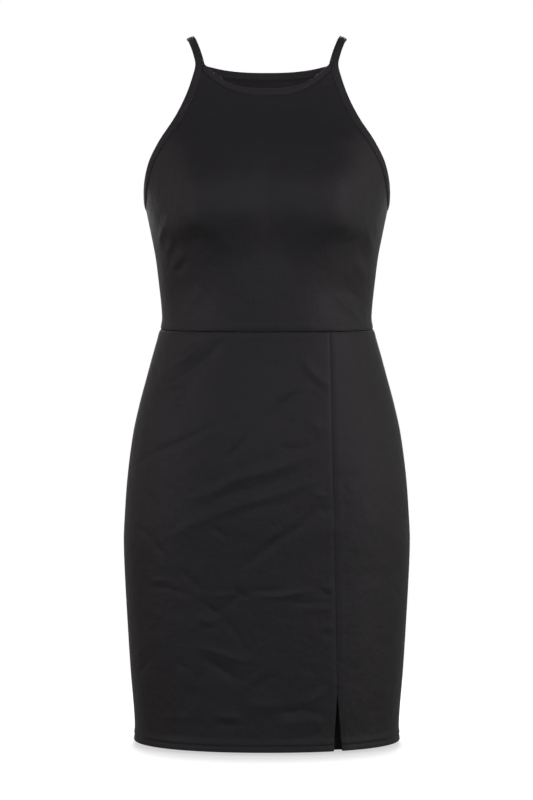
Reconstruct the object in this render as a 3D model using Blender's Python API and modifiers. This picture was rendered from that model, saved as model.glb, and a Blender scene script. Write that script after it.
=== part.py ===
"""Bodycon dress: a sleeveless short dress of stretch cloth, filled out as it is worn.

Metres, +Z up, +X to the wearer's left, the front faces -Y. The origin lies between
the two straps, under their tops, where the shoulders carry the dress. Every piece
of cloth that is cut is an object of its own, laid on one general figure.
"""
import math
from bisect import bisect_right

import bmesh
import bpy
from mathutils import Vector

MM = 0.001
FACES = ("front", "back")

# Driving sizes, in millimetres. "Below" is measured down from the origin.
CLOTH = 1.2                 # wall of a panel, which grows inwards
HEM_CLOTH = 2.2             # the hem is turned up, so it is doubled
HEM_TURN = 18.0
BINDING = 2.4               # a strip folded round the raw edge
BINDING_WIDTH = 9.5
BINDING_PROUD = 0.6         # how far its outer face stands off the panels
SEAM_GAP = 0.3
SHOULDER_TOP = BINDING - BINDING_PROUD
SHOULDER_RADIUS = 45.0
SQUARENESS = 2.2            # 2 is an ellipse, more is squarer
HEART = Vector((0.0, 0.0, -150.0))      # every piece faces away from here
WAIST = 350.0
HEM = 853.0

# The figure under the cloth, as the outer face of the panels.
# below, half width, depth to the front, depth to the back
SECTIONS = [
    (0, 158.0, 57, 57),
    (45, 158.0, 58, 58),
    (70, 158.0, 66, 71),
    (98, 158.0, 77, 86),
    (126, 157.6, 89, 98),
    (165, 155.0, 102, 106),
    (204, 146.8, 109, 108),
    (232, 141.0, 105, 106),
    (263, 135.0, 100, 102),
    (294, 131.1, 97, 97),
    (324, 127.9, 96, 94),
    (340, 127.4, 96, 92),
    (352, 130.2, 96, 93),
    (383, 139.0, 98, 97),
    (413, 147.2, 101, 102),
    (443, 155.2, 104, 108),
    (478, 162.8, 107, 114),
    (531, 169.8, 109, 120),
    (584, 173.6, 109, 122),
    (608, 174.5, 108, 121),
    (644, 173.5, 107, 119),
    (705, 170.3, 106, 114),
    (767, 166.5, 105, 110),
    (824, 162.0, 104, 107),
    (853, 161.3, 104, 106),
]

# A general bust, the same on both sides.
BUST_FULLNESS = 15.0
BUST_BELOW = 190.0
BUST_APART = 75.0
BUST_SPREAD = 40.0
BUST_BRIDGE = 90.0          # the cloth bridges the hollow between
BUST_RISE = 62.0            # it eases out slowly above
BUST_FALL = 38.0            # and faster below

# The middle line of the armhole binding, from the shoulder down to the underarm.
# below, degrees round from the centre front (or the centre back)
ARMHOLE = [
    (0.0, 33.9),
    (6.0, 32.3),
    (17.5, 30.0),
    (30.0, 28.7),
    (42.0, 29.5),
    (71.0, 34.0),
    (98.0, 40.8),
    (126.0, 51.7),
    (148.0, 60.6),
    (165.0, 66.6),
    (180.0, 72.7),
    (192.0, 78.8),
    (199.0, 84.0),
    (201.8, 90.0),
]
ARMHOLE_STEPS = 2           # lengths of binding between two rows

# The neck, for the front and for the back: how far below at the centre and at the
# corner, how far the corner is from the centre, and how suddenly it rises there.
NECK_EDGE = {"front": (60.6, 33.8, 72.0, 2.8), "back": (37.8, 30.2, 72.0, 2.6)}
NECK_SEAM = {"front": (68.9, 38.4, 77.1, 2.6), "back": (47.0, 38.6, 77.1, 2.6)}

# The long seam of the skirt's front, and the slit that it opens into.
SEAM_AT_WAIST = 75.8
SEAM_AT_SLIT = 84.7
SLIT_TOP = 784.0
SLIT_LEFT = 80.2            # its two edges at the hem
SLIT_RIGHT = 90.4
UNDERLAP_TOP = 772.0
UNDERLAP_BOTTOM = 851.0
UNDERLAP_HALF = 15.0

# The largest drag folds, each a soft trough with a ridge beside it.
# face, x and below at one end, x and below at the other, half width, depth
FOLDS = [
    ("front", -52, 372, -118, 412, 11, 2.4),
    ("front", -14, 452, -132, 512, 12, 3.2),
    ("front", 40, 424, -28, 500, 11, 2.6),
    ("front", 58, 496, -64, 550, 12, 3.2),
    ("front", 52, 552, -84, 606, 12, 3.0),
    ("front", 46, 596, -34, 662, 11, 2.6),
    ("front", 70, 680, -24, 676, 12, 3.0),
    ("front", -78, 670, -142, 664, 11, 2.2),
    ("front", -52, 712, -16, 766, 11, 2.0),
    ("front", 60, 822, 8, 828, 11, 1.8),
    ("back", 64, 388, -40, 404, 12, 2.6),
    ("back", 92, 430, 12, 462, 12, 2.8),
    ("back", -96, 446, -18, 474, 12, 2.4),
    ("back", 96, 640, 8, 612, 12, 2.4),
    ("back", -104, 676, -22, 640, 12, 2.6),
    ("back", 70, 300, -34, 322, 11, 2.0),
]

# Cells of cloth round and down each panel.
BODICE_ROUND = 22
BODICE_SIDE_ROWS = 10
SKIRT_MAIN_ROUND = 22
SKIRT_SIDE_ROUND = 7
SKIRT_BACK_ROUND = 20
SKIRT_ROWS = 38
SKIRT_BACK_ROWS = 28

CLOTH_LOOK = ("black stretch cloth", (0.014, 0.013, 0.015, 1.0), 0.62)
BINDING_LOOK = ("black binding", (0.012, 0.011, 0.013, 1.0), 0.58)


# ---------------------------------------------------------------- the figure

def through(table, column, at):
    """A column of a table, read at any height on a smooth line through its rows."""
    keys = [row[0] for row in table]
    i = min(max(bisect_right(keys, at) - 1, 0), len(table) - 2)

    def slope(k):
        a, b = max(k - 1, 0), min(k + 1, len(table) - 1)
        return (table[b][column] - table[a][column]) / (keys[b] - keys[a])

    span = keys[i + 1] - keys[i]
    t = min(max((at - keys[i]) / span, 0.0), 1.0)
    start, end = table[i][column], table[i + 1][column]
    return (
        (2 * t**3 - 3 * t**2 + 1) * start
        + (t**3 - 2 * t**2 + t) * span * slope(i)
        + (3 * t**2 - 2 * t**3) * end
        + (t**3 - t**2) * span * slope(i + 1)
    )


def curved(value):
    """The power that makes a circle's sine or cosine a squarer section's."""
    return math.copysign(abs(value) ** (2 / SQUARENESS), value)


def degrees_at(x, below):
    """How far round the front a point lies that is x from the centre."""
    share = min(abs(x) / through(SECTIONS, 1, below), 1.0)
    return math.copysign(math.degrees(math.asin(share ** (SQUARENESS / 2))), x)


def bust(x, below):
    away = (abs(x) - BUST_APART) / (BUST_SPREAD if abs(x) > BUST_APART else BUST_BRIDGE)
    spread = BUST_RISE if below < BUST_BELOW else BUST_FALL
    return BUST_FULLNESS * math.exp(-(away**2) - ((below - BUST_BELOW) / spread) ** 2)


def girth_place(degrees, below):
    """A place on the cloth as millimetres round from the centre front or back."""
    if abs(degrees) > 90:
        degrees = math.copysign(180 - abs(degrees), degrees)
    mean = math.hypot(through(SECTIONS, 1, below), through(SECTIONS, 2, below)) / math.sqrt(2)
    return math.radians(degrees) * mean


def fold_depth(degrees, below):
    """The sum of the folds at a place: negative in a trough, positive on a ridge."""
    face = "front" if abs(degrees) <= 90 else "back"
    place = Vector((girth_place(degrees, below), below))
    total = 0.0
    for on, x0, below0, x1, below1, half, depth in FOLDS:
        if on != face:
            continue
        start = Vector((girth_place(degrees_at(x0, below0), below0), below0))
        end = Vector((girth_place(degrees_at(x1, below1), below1), below1))
        run = end - start
        along = (place - start).dot(run) / run.length_squared
        if not 0 < along < 1:
            continue
        across = (place - start - along * run).length / half
        total -= depth * math.sin(math.pi * along) * (1 - across**2) * math.exp(-(across**2))
    return total


def on_figure(degrees, down):
    """The outer face: degrees round, and the length down over the shoulder's curve."""
    below = below_at(down)
    shoulder = math.sin(min(down / SHOULDER_RADIUS, math.pi / 2))
    angle = math.radians(degrees)
    front = math.cos(angle) >= 0
    x = through(SECTIONS, 1, below) * curved(math.sin(angle))
    y = -through(SECTIONS, 2 if front else 3, below) * shoulder * curved(math.cos(angle))
    if front:
        y -= shoulder * bust(x, below) * math.cos(angle)
    return Vector((x, y, SHOULDER_TOP - below))


def below_at(down):
    """How far below a length down over the shoulder's curve reaches."""
    if abs(down) < SHOULDER_RADIUS * math.pi / 2:
        return SHOULDER_RADIUS * (1 - math.cos(down / SHOULDER_RADIUS))
    return SHOULDER_RADIUS + down - SHOULDER_RADIUS * math.pi / 2


def down_to(below):
    """The length down over the shoulder's curve that reaches this far below."""
    if below < SHOULDER_RADIUS:
        return SHOULDER_RADIUS * math.acos(1 - max(below, 0.0) / SHOULDER_RADIUS)
    return below - SHOULDER_RADIUS + SHOULDER_RADIUS * math.pi / 2


def outwards(degrees, below):
    """The cloth's outward direction at a place."""
    down, step = down_to(below), 0.5
    round_it = on_figure(degrees + step, down) - on_figure(degrees - step, down)
    down_it = on_figure(degrees, down + step) - on_figure(degrees, down - step)
    return down_it.cross(round_it).normalized()


def cloth(degrees, below, off=0.0):
    """A point of the cloth, with its folds, moved off the figure by so much."""
    raised = off + fold_depth(degrees, below)
    return on_figure(degrees, down_to(below)) + outwards(degrees, below) * raised


# ------------------------------------------------------------ edges and seams

def spline(points, steps):
    """A smooth line through the inner points, with so many steps to each; the first
    and last point only steer it."""
    line = []
    for before, here, after, beyond in zip(points, points[1:], points[2:], points[3:]):
        span = (after - here).length
        leave = (after - before) / (span + (here - before).length) * span
        arrive = (beyond - here) / (span + (beyond - after).length) * span
        for k in range(steps):
            t = k / steps
            line.append(
                (2 * t**3 - 3 * t**2 + 1) * here
                + (t**3 - 2 * t**2 + t) * leave
                + (3 * t**2 - 2 * t**3) * after
                + (t**3 - t**2) * arrive
            )
    return line + [points[-2]]


def place_of(point):
    """Degrees round and below, for a point near the figure."""
    below = max(SHOULDER_TOP - point.z, 0.0)
    if abs(point.x) < 0.97 * through(SECTIONS, 1, below):
        degrees = degrees_at(point.x, below)
    else:
        share = abs(point.y) / through(SECTIONS, 2 if point.y < 0 else 3, below)
        degrees = math.degrees(math.acos(share ** (SQUARENESS / 2)))
    return (180 - degrees if point.y > 0 else degrees), below


def around(face, degrees):
    """Degrees from the centre of a face, as degrees from the centre front."""
    return degrees if face == "front" else 180 - degrees


def armhole_frames(face):
    """Half an armhole on the wearer's left, from the shoulder to the underarm: each step
    of the binding's middle line, with its directions across the binding and outwards."""
    places = [Vector((degrees, down_to(below))) for below, degrees in ARMHOLE]
    over = Vector((places[1].x, -places[1].y))
    under = Vector((180 - places[-2].x, places[-2].y))
    line = spline([over] + places + [under], ARMHOLE_STEPS)
    spots = [on_figure(around(face, place.x), place.y) for place in line]
    mirrored = Vector((1, -1, 1))
    beyond = [spots[1] * mirrored] + spots + [spots[-2] * mirrored]
    frames = []
    for i, place in enumerate(line):
        out = outwards(around(face, place.x), below_at(place.y))
        along = (beyond[i + 2] - beyond[i]).normalized()
        across = along.cross(out) if face == "front" else out.cross(along)
        frames.append((spots[i], across.normalized(), out))
    return frames


def armhole_seam(face):
    """The panel's edge along the armhole, as degrees from its centre, and below."""
    seam = []
    for spot, across, out in ARMHOLES[face]:
        degrees, below = place_of(spot + across * (BINDING_WIDTH / 2 + SEAM_GAP))
        seam.append((around(face, degrees), below))
    return seam


def seam_at(face, below):
    """The armhole seam's degrees from the centre at a height."""
    seam = SEAMS[face]
    i = next(i for i in range(ARMHOLE_STEPS, len(seam)) if seam[i][1] > below)
    (start, above), (stop, under) = seam[i - 1], seam[i]
    return start + (stop - start) * (below - above) / (under - above)


def half_gap(below):
    """Half a side seam's gap, as degrees round."""
    return math.degrees(SEAM_GAP / 2 / through(SECTIONS, 2, below))


def neck_height(line, face, x):
    centre, corner, reach, suddenness = line[face]
    return centre - (centre - corner) * (abs(x) / reach) ** suddenness


def x_at(degrees, below):
    return through(SECTIONS, 1, below) * curved(math.sin(math.radians(degrees)))


def skirt_seam(below):
    """How far the front seam lies from the centre."""
    share = (below - WAIST) / (SLIT_TOP - WAIST)
    return SEAM_AT_WAIST + (SEAM_AT_SLIT - SEAM_AT_WAIST) * min(share, 1.0)


def slit_edge(below, at_hem):
    """An edge of the seam, which leans away from it below the slit's top."""
    side = math.copysign(SEAM_GAP / 2, at_hem - SEAM_AT_SLIT)
    share = max(below - SLIT_TOP, 0.0) / (HEM - SLIT_TOP)
    return skirt_seam(below) + side + (at_hem - SEAM_AT_SLIT) * share


ARMHOLES = {face: armhole_frames(face) for face in FACES}
SEAMS = {face: armhole_seam(face) for face in FACES}


# ------------------------------------------------------------------- objects

def look(name, colour, roughness):
    material = bpy.data.materials.get(name) or bpy.data.materials.new(name)
    material.use_nodes = True
    shader = material.node_tree.nodes["Principled BSDF"]
    shader.inputs["Base Color"].default_value = colour
    shader.inputs["Roughness"].default_value = roughness
    shader.inputs["Metallic"].default_value = 0.0
    return material


def sheet(name, columns, rows, place, wall, material, closed=False, doubled=None):
    """A piece of cloth: a grid whose point (column, row) goes to place, given a wall."""
    bm = bmesh.new()
    bmesh.ops.create_grid(bm, x_segments=columns, y_segments=rows, size=1.0)
    layer = bm.verts.layers.deform.new()
    for vert in bm.verts:
        column = round((vert.co.x + 1) / 2 * columns)
        row = round((vert.co.y + 1) / 2 * rows)
        vert.co = place(column, row) * MM
        vert[layer][0] = 1.0 if doubled and doubled(row) else 0.0
    if closed:
        bmesh.ops.remove_doubles(bm, verts=bm.verts, dist=1e-6)
    bm.normal_update()
    if sum(face.normal.dot(face.calc_center_median() - HEART * MM) for face in bm.faces) < 0:
        bmesh.ops.reverse_faces(bm, faces=bm.faces)
    mesh = bpy.data.meshes.new(name)
    bm.to_mesh(mesh)
    bm.free()
    mesh.materials.append(look(*material))
    mesh.shade_smooth()
    piece = bpy.data.objects.new(name, mesh)
    collection.objects.link(piece)
    piece.parent = dress
    thicken = piece.modifiers.new("Wall", "SOLIDIFY")
    thicken.thickness = wall * MM
    thicken.offset = -1.0
    if doubled:
        piece.vertex_groups.new(name="turned up")
        thicken.thickness = HEM_CLOTH * MM
        thicken.vertex_group = "turned up"
        thicken.thickness_vertex_group = wall / HEM_CLOTH
    return piece


def skirt_heights(rows):
    """The rows of a skirt panel, the last two kept for the turned hem."""
    top, turn = WAIST + SEAM_GAP / 2, HEM - HEM_TURN
    even = [top + (turn - top) * i / (rows - 3) for i in range(rows - 2)]
    return even + [turn + 1.5, HEM - HEM_TURN / 2, HEM]


def bodice(face):
    """Front or back of the bodice, from the waist up to its neck seam."""
    seam = SEAMS[face]
    waist = WAIST - SEAM_GAP / 2
    centre, corner, reach, suddenness = NECK_SEAM[face]
    underarm = (90 - half_gap(seam[-1][1]), seam[-1][1])
    edges = [
        (underarm[0], waist + (underarm[1] - waist) * i / BODICE_SIDE_ROWS)
        for i in range(BODICE_SIDE_ROWS)
    ]
    edges += [underarm] + [step for step in seam[-2::-1] if step[1] > corner + 4]
    edges += [(seam_at(face, corner), corner)]
    rows = len(edges) - 1

    def place(column, row):
        edge_degrees, edge_below = edges[row]
        degrees = edge_degrees * (2 * column / BODICE_ROUND - 1)
        rise = abs(x_at(degrees, edge_below) / x_at(edge_degrees, edge_below)) ** suddenness
        middle = waist + (centre - waist) * row / rows
        below = middle + (edge_below - middle) * rise
        return cloth(around(face, degrees), below + SEAM_GAP * row / rows)

    return sheet(f"bodice_{face}", BODICE_ROUND, rows, place, CLOTH, CLOTH_LOOK)


def neck_binding(face):
    """The strip along a neck edge, cut off along the armhole bindings."""

    def height(x, across):
        edge, seam = neck_height(NECK_EDGE, face, x), neck_height(NECK_SEAM, face, x)
        return edge + (seam - edge) * across

    def end(across):
        """Degrees where a line of the strip meets the armhole binding."""
        below = NECK_EDGE[face][1]
        for _ in range(12):
            below = height(x_at(seam_at(face, below), below), across)
        return seam_at(face, below)

    ends = [end(0.0), end(0.5), end(1.0)]

    def place(column, row):
        degrees = ends[row] * (2 * column / BODICE_ROUND - 1)
        below = height(x_at(degrees, NECK_EDGE[face][1]), row / 2)
        proud = BINDING_PROUD if row == 1 else BINDING_PROUD / 2
        return cloth(around(face, degrees), below, proud)

    return sheet(f"neck_binding_{face}", BODICE_ROUND, 2, place, BINDING, BINDING_LOOK)


def armhole_binding(name, side):
    """The strip round an armhole, which runs on over the shoulder as the strap."""
    loop = ARMHOLES["front"] + ARMHOLES["back"][-2:0:-1]
    count = len(loop)

    def place(column, row):
        spot, across, out = loop[column % count]
        proud = BINDING_PROUD if row == 1 else BINDING_PROUD / 2
        spot = spot + across * (BINDING_WIDTH / 2) * (row - 1) + out * proud
        return Vector((side * spot.x, spot.y, spot.z))

    return sheet(name, count, 2, place, BINDING, BINDING_LOOK, closed=True)


def skirt_panel(name, columns, rows, left, right):
    """A skirt panel between two edges, each given as degrees round at a height."""
    heights = skirt_heights(rows)

    def place(column, row):
        below = heights[row]
        start, stop = left(below), right(below)
        return cloth(start + (stop - start) * column / columns, below)

    def doubled(row):
        return row >= rows - 2

    return sheet(name, columns, rows, place, CLOTH, CLOTH_LOOK, doubled=doubled)


def underlap():
    """The strip sewn behind the slit, clear of the turned hem in front of it."""
    columns, rows = 4, 7

    def place(column, row):
        below = UNDERLAP_TOP + (UNDERLAP_BOTTOM - UNDERLAP_TOP) * row / rows
        x = SEAM_AT_SLIT + UNDERLAP_HALF * (2 * column / columns - 1)
        return cloth(degrees_at(x, below), below, -(HEM_CLOTH + 2 * SEAM_GAP))

    return sheet("slit_underlap", columns, rows, place, CLOTH, CLOTH_LOOK)


for old in list(bpy.data.objects):
    bpy.data.objects.remove(old, do_unlink=True)

collection = bpy.data.collections.new("Bodycon dress")
bpy.context.scene.collection.children.link(collection)
dress = bpy.data.objects.new("dress", None)
collection.objects.link(dress)

for face in FACES:
    bodice(face)
    neck_binding(face)

armhole_binding("armhole_binding_left", 1)
armhole_binding("armhole_binding_right", -1)

skirt_panel(
    "skirt_front_main", SKIRT_MAIN_ROUND, SKIRT_ROWS,
    lambda below: half_gap(below) - 90,
    lambda below: degrees_at(slit_edge(below, SLIT_LEFT), below),
)
skirt_panel(
    "skirt_front_side", SKIRT_SIDE_ROUND, SKIRT_ROWS,
    lambda below: degrees_at(slit_edge(below, SLIT_RIGHT), below),
    lambda below: 90 - half_gap(below),
)
skirt_panel(
    "skirt_back", SKIRT_BACK_ROUND, SKIRT_BACK_ROWS,
    lambda below: 90 + half_gap(below),
    lambda below: 270 - half_gap(below),
)
underlap()
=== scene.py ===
# %% [markdown]
# # A bodycon dress, dressed for a portrait
#
# A bodycon dress is a close, sleeveless tube of stretch cloth. This one has a high round
# neck, armholes cut in towards the neck, two thin straps, a seam at the waist, and a skirt
# whose front is cut in two parts. The seam between those parts opens into a short slit.
#
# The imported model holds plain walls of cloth, one for each piece that is cut. They could be
# kept and given a better material, but rolled edges, creases and stitches are shapes, and a
# material only paints them. So each wall is replaced by a finer sheet on the same figure.

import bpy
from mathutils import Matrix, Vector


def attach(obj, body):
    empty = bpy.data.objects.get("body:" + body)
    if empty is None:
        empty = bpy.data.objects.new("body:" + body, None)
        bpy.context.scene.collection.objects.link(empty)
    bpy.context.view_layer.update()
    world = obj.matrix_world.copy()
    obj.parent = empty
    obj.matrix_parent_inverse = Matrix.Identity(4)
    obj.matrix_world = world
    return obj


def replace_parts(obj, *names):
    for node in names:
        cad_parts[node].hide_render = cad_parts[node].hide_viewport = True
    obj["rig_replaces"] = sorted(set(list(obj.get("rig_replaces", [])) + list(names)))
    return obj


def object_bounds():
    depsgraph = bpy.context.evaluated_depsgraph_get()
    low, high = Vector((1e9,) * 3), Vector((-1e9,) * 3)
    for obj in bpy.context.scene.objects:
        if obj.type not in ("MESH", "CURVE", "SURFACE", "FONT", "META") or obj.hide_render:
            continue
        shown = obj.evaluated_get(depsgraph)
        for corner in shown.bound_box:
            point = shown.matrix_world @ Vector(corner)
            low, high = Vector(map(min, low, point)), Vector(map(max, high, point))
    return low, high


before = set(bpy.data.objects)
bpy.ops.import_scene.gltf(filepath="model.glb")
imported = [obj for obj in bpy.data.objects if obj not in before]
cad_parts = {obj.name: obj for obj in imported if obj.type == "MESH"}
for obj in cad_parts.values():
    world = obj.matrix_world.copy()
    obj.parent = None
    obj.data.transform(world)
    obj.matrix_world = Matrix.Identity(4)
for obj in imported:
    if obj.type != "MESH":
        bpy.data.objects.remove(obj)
cad_low, cad_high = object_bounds()
print("pieces in the frame:", ", ".join(sorted(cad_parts)))

# %% Helpers from Blender and Python
import math

import bmesh
import bpy
import numpy as np
from mathutils import Matrix, Vector
from mathutils.bvhtree import BVHTree

MM = 0.001


def hermite(t, here, leave, after, arrive):
    """A smooth step from one value to the next, which it leaves and reaches at given slopes."""
    return (
        (2 * t**3 - 3 * t**2 + 1) * here
        + (t**3 - 2 * t**2 + t) * leave
        + (3 * t**2 - 2 * t**3) * after
        + (t**3 - t**2) * arrive
    )


def eased(share):
    """From 0 to 1, level at both ends."""
    return share**2 * (3 - 2 * share)


def unit(vectors):
    return vectors / np.linalg.norm(vectors, axis=-1, keepdims=True)


def lengths(steps):
    """How far along a line each of its points lies, from the steps between them."""
    return np.concatenate([[0], np.cumsum(steps)])


def lengths_of(points):
    return lengths(np.linalg.norm(np.diff(points, axis=0), axis=1))


print("the frame in millimetres:", [round(side / MM) for side in cad_high - cad_low])

# %% [markdown]
# ## The figure under the cloth
#
# Worn cloth takes its form from what fills it, so the dress needs a figure first. A scanned
# body would belong to one person. A lathe would make a round tube, which no torso is. A
# short table of sections, each a width and two depths, gives a general figure, and one
# smooth line through each column fills in the heights between.
#
# Heights are counted down from the origin, which lies between the tops of the straps.

# %% The table of sections
SHOULDER_TOP = 1.8
SHOULDER_RADIUS = 45.0
SHOULDER_SLOPE = 0.5        # the shoulders fall outwards, under the straps
SLOPE_ENDS = 12.0
STRAP_OUTSIDE = 97.0
SQUARENESS = 2.2            # 2 is an ellipse, more is squarer
WAIST = 350.0
WAIST_SEAM = 1.1            # the gap between the bodice and the skirt
BODICE_ENDS = WAIST - WAIST_SEAM / 2
SKIRT_STARTS = WAIST + WAIST_SEAM / 2
HEM = 853.0

# below, half width, depth to the front, depth to the back
SECTIONS = [
    (0, 158.0, 57, 57),
    (45, 158.0, 58, 62),
    (70, 158.0, 66, 67),
    (98, 158.0, 77, 82),
    (126, 157.6, 89, 97),
    (165, 155.0, 97, 106),
    (204, 146.8, 100.5, 108),
    (232, 141.0, 100.5, 106),
    (263, 135.0, 100.2, 102),
    (294, 131.1, 99.6, 97),
    (324, 127.9, 98.6, 94),
    (340, 127.4, 98.0, 92),
    (352, 130.2, 98.0, 93),
    (383, 139.0, 98.6, 97),
    (413, 147.2, 101, 102),
    (443, 155.2, 104, 108),
    (478, 162.8, 107, 114),
    (531, 169.8, 109, 120),
    (584, 173.6, 109, 122),
    (608, 174.5, 108, 121),
    (644, 173.5, 107, 119),
    (705, 170.3, 106, 114),
    (767, 166.5, 105, 110),
    (824, 162.0, 104, 107),
    (853, 161.3, 104, 106),
]


def through(rows, column, at):
    """A column of a table, read at any height on a smooth line through its rows."""
    table = np.array(rows, dtype=float)
    keys, values = table[:, 0], table[:, column]
    steps = np.arange(len(keys))
    after = np.minimum(steps + 1, len(keys) - 1)
    before = np.maximum(steps - 1, 0)
    slopes = (values[after] - values[before]) / (keys[after] - keys[before])
    i = np.clip(np.searchsorted(keys, at, side="right") - 1, 0, len(keys) - 2)
    span = keys[i + 1] - keys[i]
    t = np.clip((at - keys[i]) / span, 0, 1)
    return hermite(t, values[i], span * slopes[i], values[i + 1], span * slopes[i + 1])


print("half width at the waist:", round(float(through(SECTIONS, 1, WAIST)), 1), "mm")

# %% [markdown]
# A section is a little squarer than an ellipse, as a rib cage and hips are. The bust is one
# soft swelling on each side. Between the two, stretched cloth bridges the hollow, so the
# swelling reaches further inwards than outwards, and is highest a little further up.
#
# Below it a close dress doesn't hang straight. It steps in where the swelling ends, and
# lies in once more over the ribs on its way to the waist. Both are soft, and both fade
# towards the middle, where the cloth is held taut from side to side.
#
# Near the top the figure curves over the shoulders, which also fall a little outwards. Down
# the cloth and down through the air differ there, so the places of the straps are kept as
# lengths along the cloth.

# %% The bust and the shoulders
BUST_FULLNESS = 24.0
BUST_BELOW = 184.0
MIDDLE_BELOW = 178.0        # the cloth between the two is highest a little further up
BUST_APART = 84.0
BUST_SPREAD = 38.0
BUST_BRIDGE = 92.0
BUST_RISE = 56.0
BUST_FALL = 69.0
MIDDLE_FALL = 60.0
BUST_TURN = 2.8             # above 2, so the underside turns in late and fast
FOLD = 12.5                 # how far the cloth steps in under each side of the bust
FOLD_BELOW = 235.0
FOLD_HALF = 8.5
FOLD_APART = 97.0
FOLD_SPREAD = 27.0
FOLD_TALL = 60.0
HOLLOW = 8.0                # and how far it lies in over the ribs, below that
HOLLOW_BELOW = 308.0
HOLLOW_SPREAD = 34.0
HOLLOW_TALL = 28.0


def bust(x, below):
    """How far the figure stands out over its sections."""
    x = np.abs(x)
    away = (x - BUST_APART) / np.where(x > BUST_APART, BUST_SPREAD, BUST_BRIDGE)
    share = eased(np.minimum(x / BUST_APART, 1))
    crest = MIDDLE_BELOW + (BUST_BELOW - MIDDLE_BELOW) * share
    fall = MIDDLE_FALL + (BUST_FALL - MIDDLE_FALL) * share
    above = (np.maximum(crest - below, 0) / BUST_RISE) ** 2
    under = (np.maximum(below - crest, 0) / fall) ** BUST_TURN
    swelling = BUST_FULLNESS * np.exp(-(away**2) - above - under)
    beside, from_fold = x - FOLD_APART, below - FOLD_BELOW
    near = np.exp(-((beside / FOLD_SPREAD) ** 2) - (from_fold / FOLD_TALL) ** 2)
    step = FOLD / 2 * near * np.tanh(from_fold / FOLD_HALF)
    from_hollow = (below - HOLLOW_BELOW) / HOLLOW_TALL
    hollow = HOLLOW * np.exp(-((beside / HOLLOW_SPREAD) ** 2) - from_hollow**2)
    return swelling - step - hollow


def below_at(down):
    """How far below a length down over the shoulder's curve reaches."""
    curve = SHOULDER_RADIUS * (1 - np.cos(down / SHOULDER_RADIUS))
    straight = SHOULDER_RADIUS + down - SHOULDER_RADIUS * math.pi / 2
    return np.where(np.abs(down) < SHOULDER_RADIUS * math.pi / 2, curve, straight)


def down_to(below):
    """The length down over the shoulder's curve that reaches this far below."""
    low = np.clip(below, 0, SHOULDER_RADIUS)
    curve = SHOULDER_RADIUS * np.arccos(1 - low / SHOULDER_RADIUS)
    straight = below - SHOULDER_RADIUS + SHOULDER_RADIUS * math.pi / 2
    return np.where(below < SHOULDER_RADIUS, curve, straight)


# %% A point on the figure, and the way out from it
def curved(value):
    """The power that makes a circle's sine or cosine a squarer section's."""
    return np.sign(value) * np.abs(value) ** (2 / SQUARENESS)


def on_figure(degrees, down):
    """Degrees round from the centre front, and the length down over the shoulder."""
    degrees, down = np.broadcast_arrays(degrees, down)
    below = below_at(down)
    shoulder = np.sin(np.minimum(down / SHOULDER_RADIUS, math.pi / 2))
    angle = np.radians(degrees)
    front = np.cos(angle) >= 0
    x = through(SECTIONS, 1, below) * curved(np.sin(angle))
    depth = np.where(front, through(SECTIONS, 2, below), through(SECTIONS, 3, below))
    y = -depth * shoulder * curved(np.cos(angle))
    y = y - np.where(front, shoulder * bust(x, below) * np.cos(angle), 0)
    slope = SHOULDER_SLOPE * (STRAP_OUTSIDE - np.abs(x)) * np.exp(-((below / SLOPE_ENDS) ** 2))
    return np.stack([x, y, SHOULDER_TOP - below + slope], axis=-1)


def outwards(degrees, down):
    """The cloth's outward direction, from the slopes round it and down it."""
    step = 0.5
    round_it = on_figure(degrees + step, down) - on_figure(degrees - step, down)
    down_it = on_figure(degrees, down + step) - on_figure(degrees, down - step)
    return unit(np.cross(down_it, round_it))


print("centre front at the waist:", on_figure(np.zeros(1), down_to(WAIST)).round(1))


# %% Places along a section
def degrees_at(x, below):
    """How far round the front a point lies that is x from the centre."""
    share = np.minimum(np.abs(x) / through(SECTIONS, 1, below), 1)
    return np.copysign(np.degrees(np.arcsin(share ** (SQUARENESS / 2))), x)


def x_at(degrees, below):
    return through(SECTIONS, 1, below) * curved(np.sin(np.radians(degrees)))


def girth_scale(below):
    """Millimetres round the figure for each degree."""
    mean = np.hypot(through(SECTIONS, 1, below), through(SECTIONS, 2, below)) / math.sqrt(2)
    return np.radians(1) * mean


print("hips:", round(360 * float(girth_scale(600.0))), "mm round")
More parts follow.
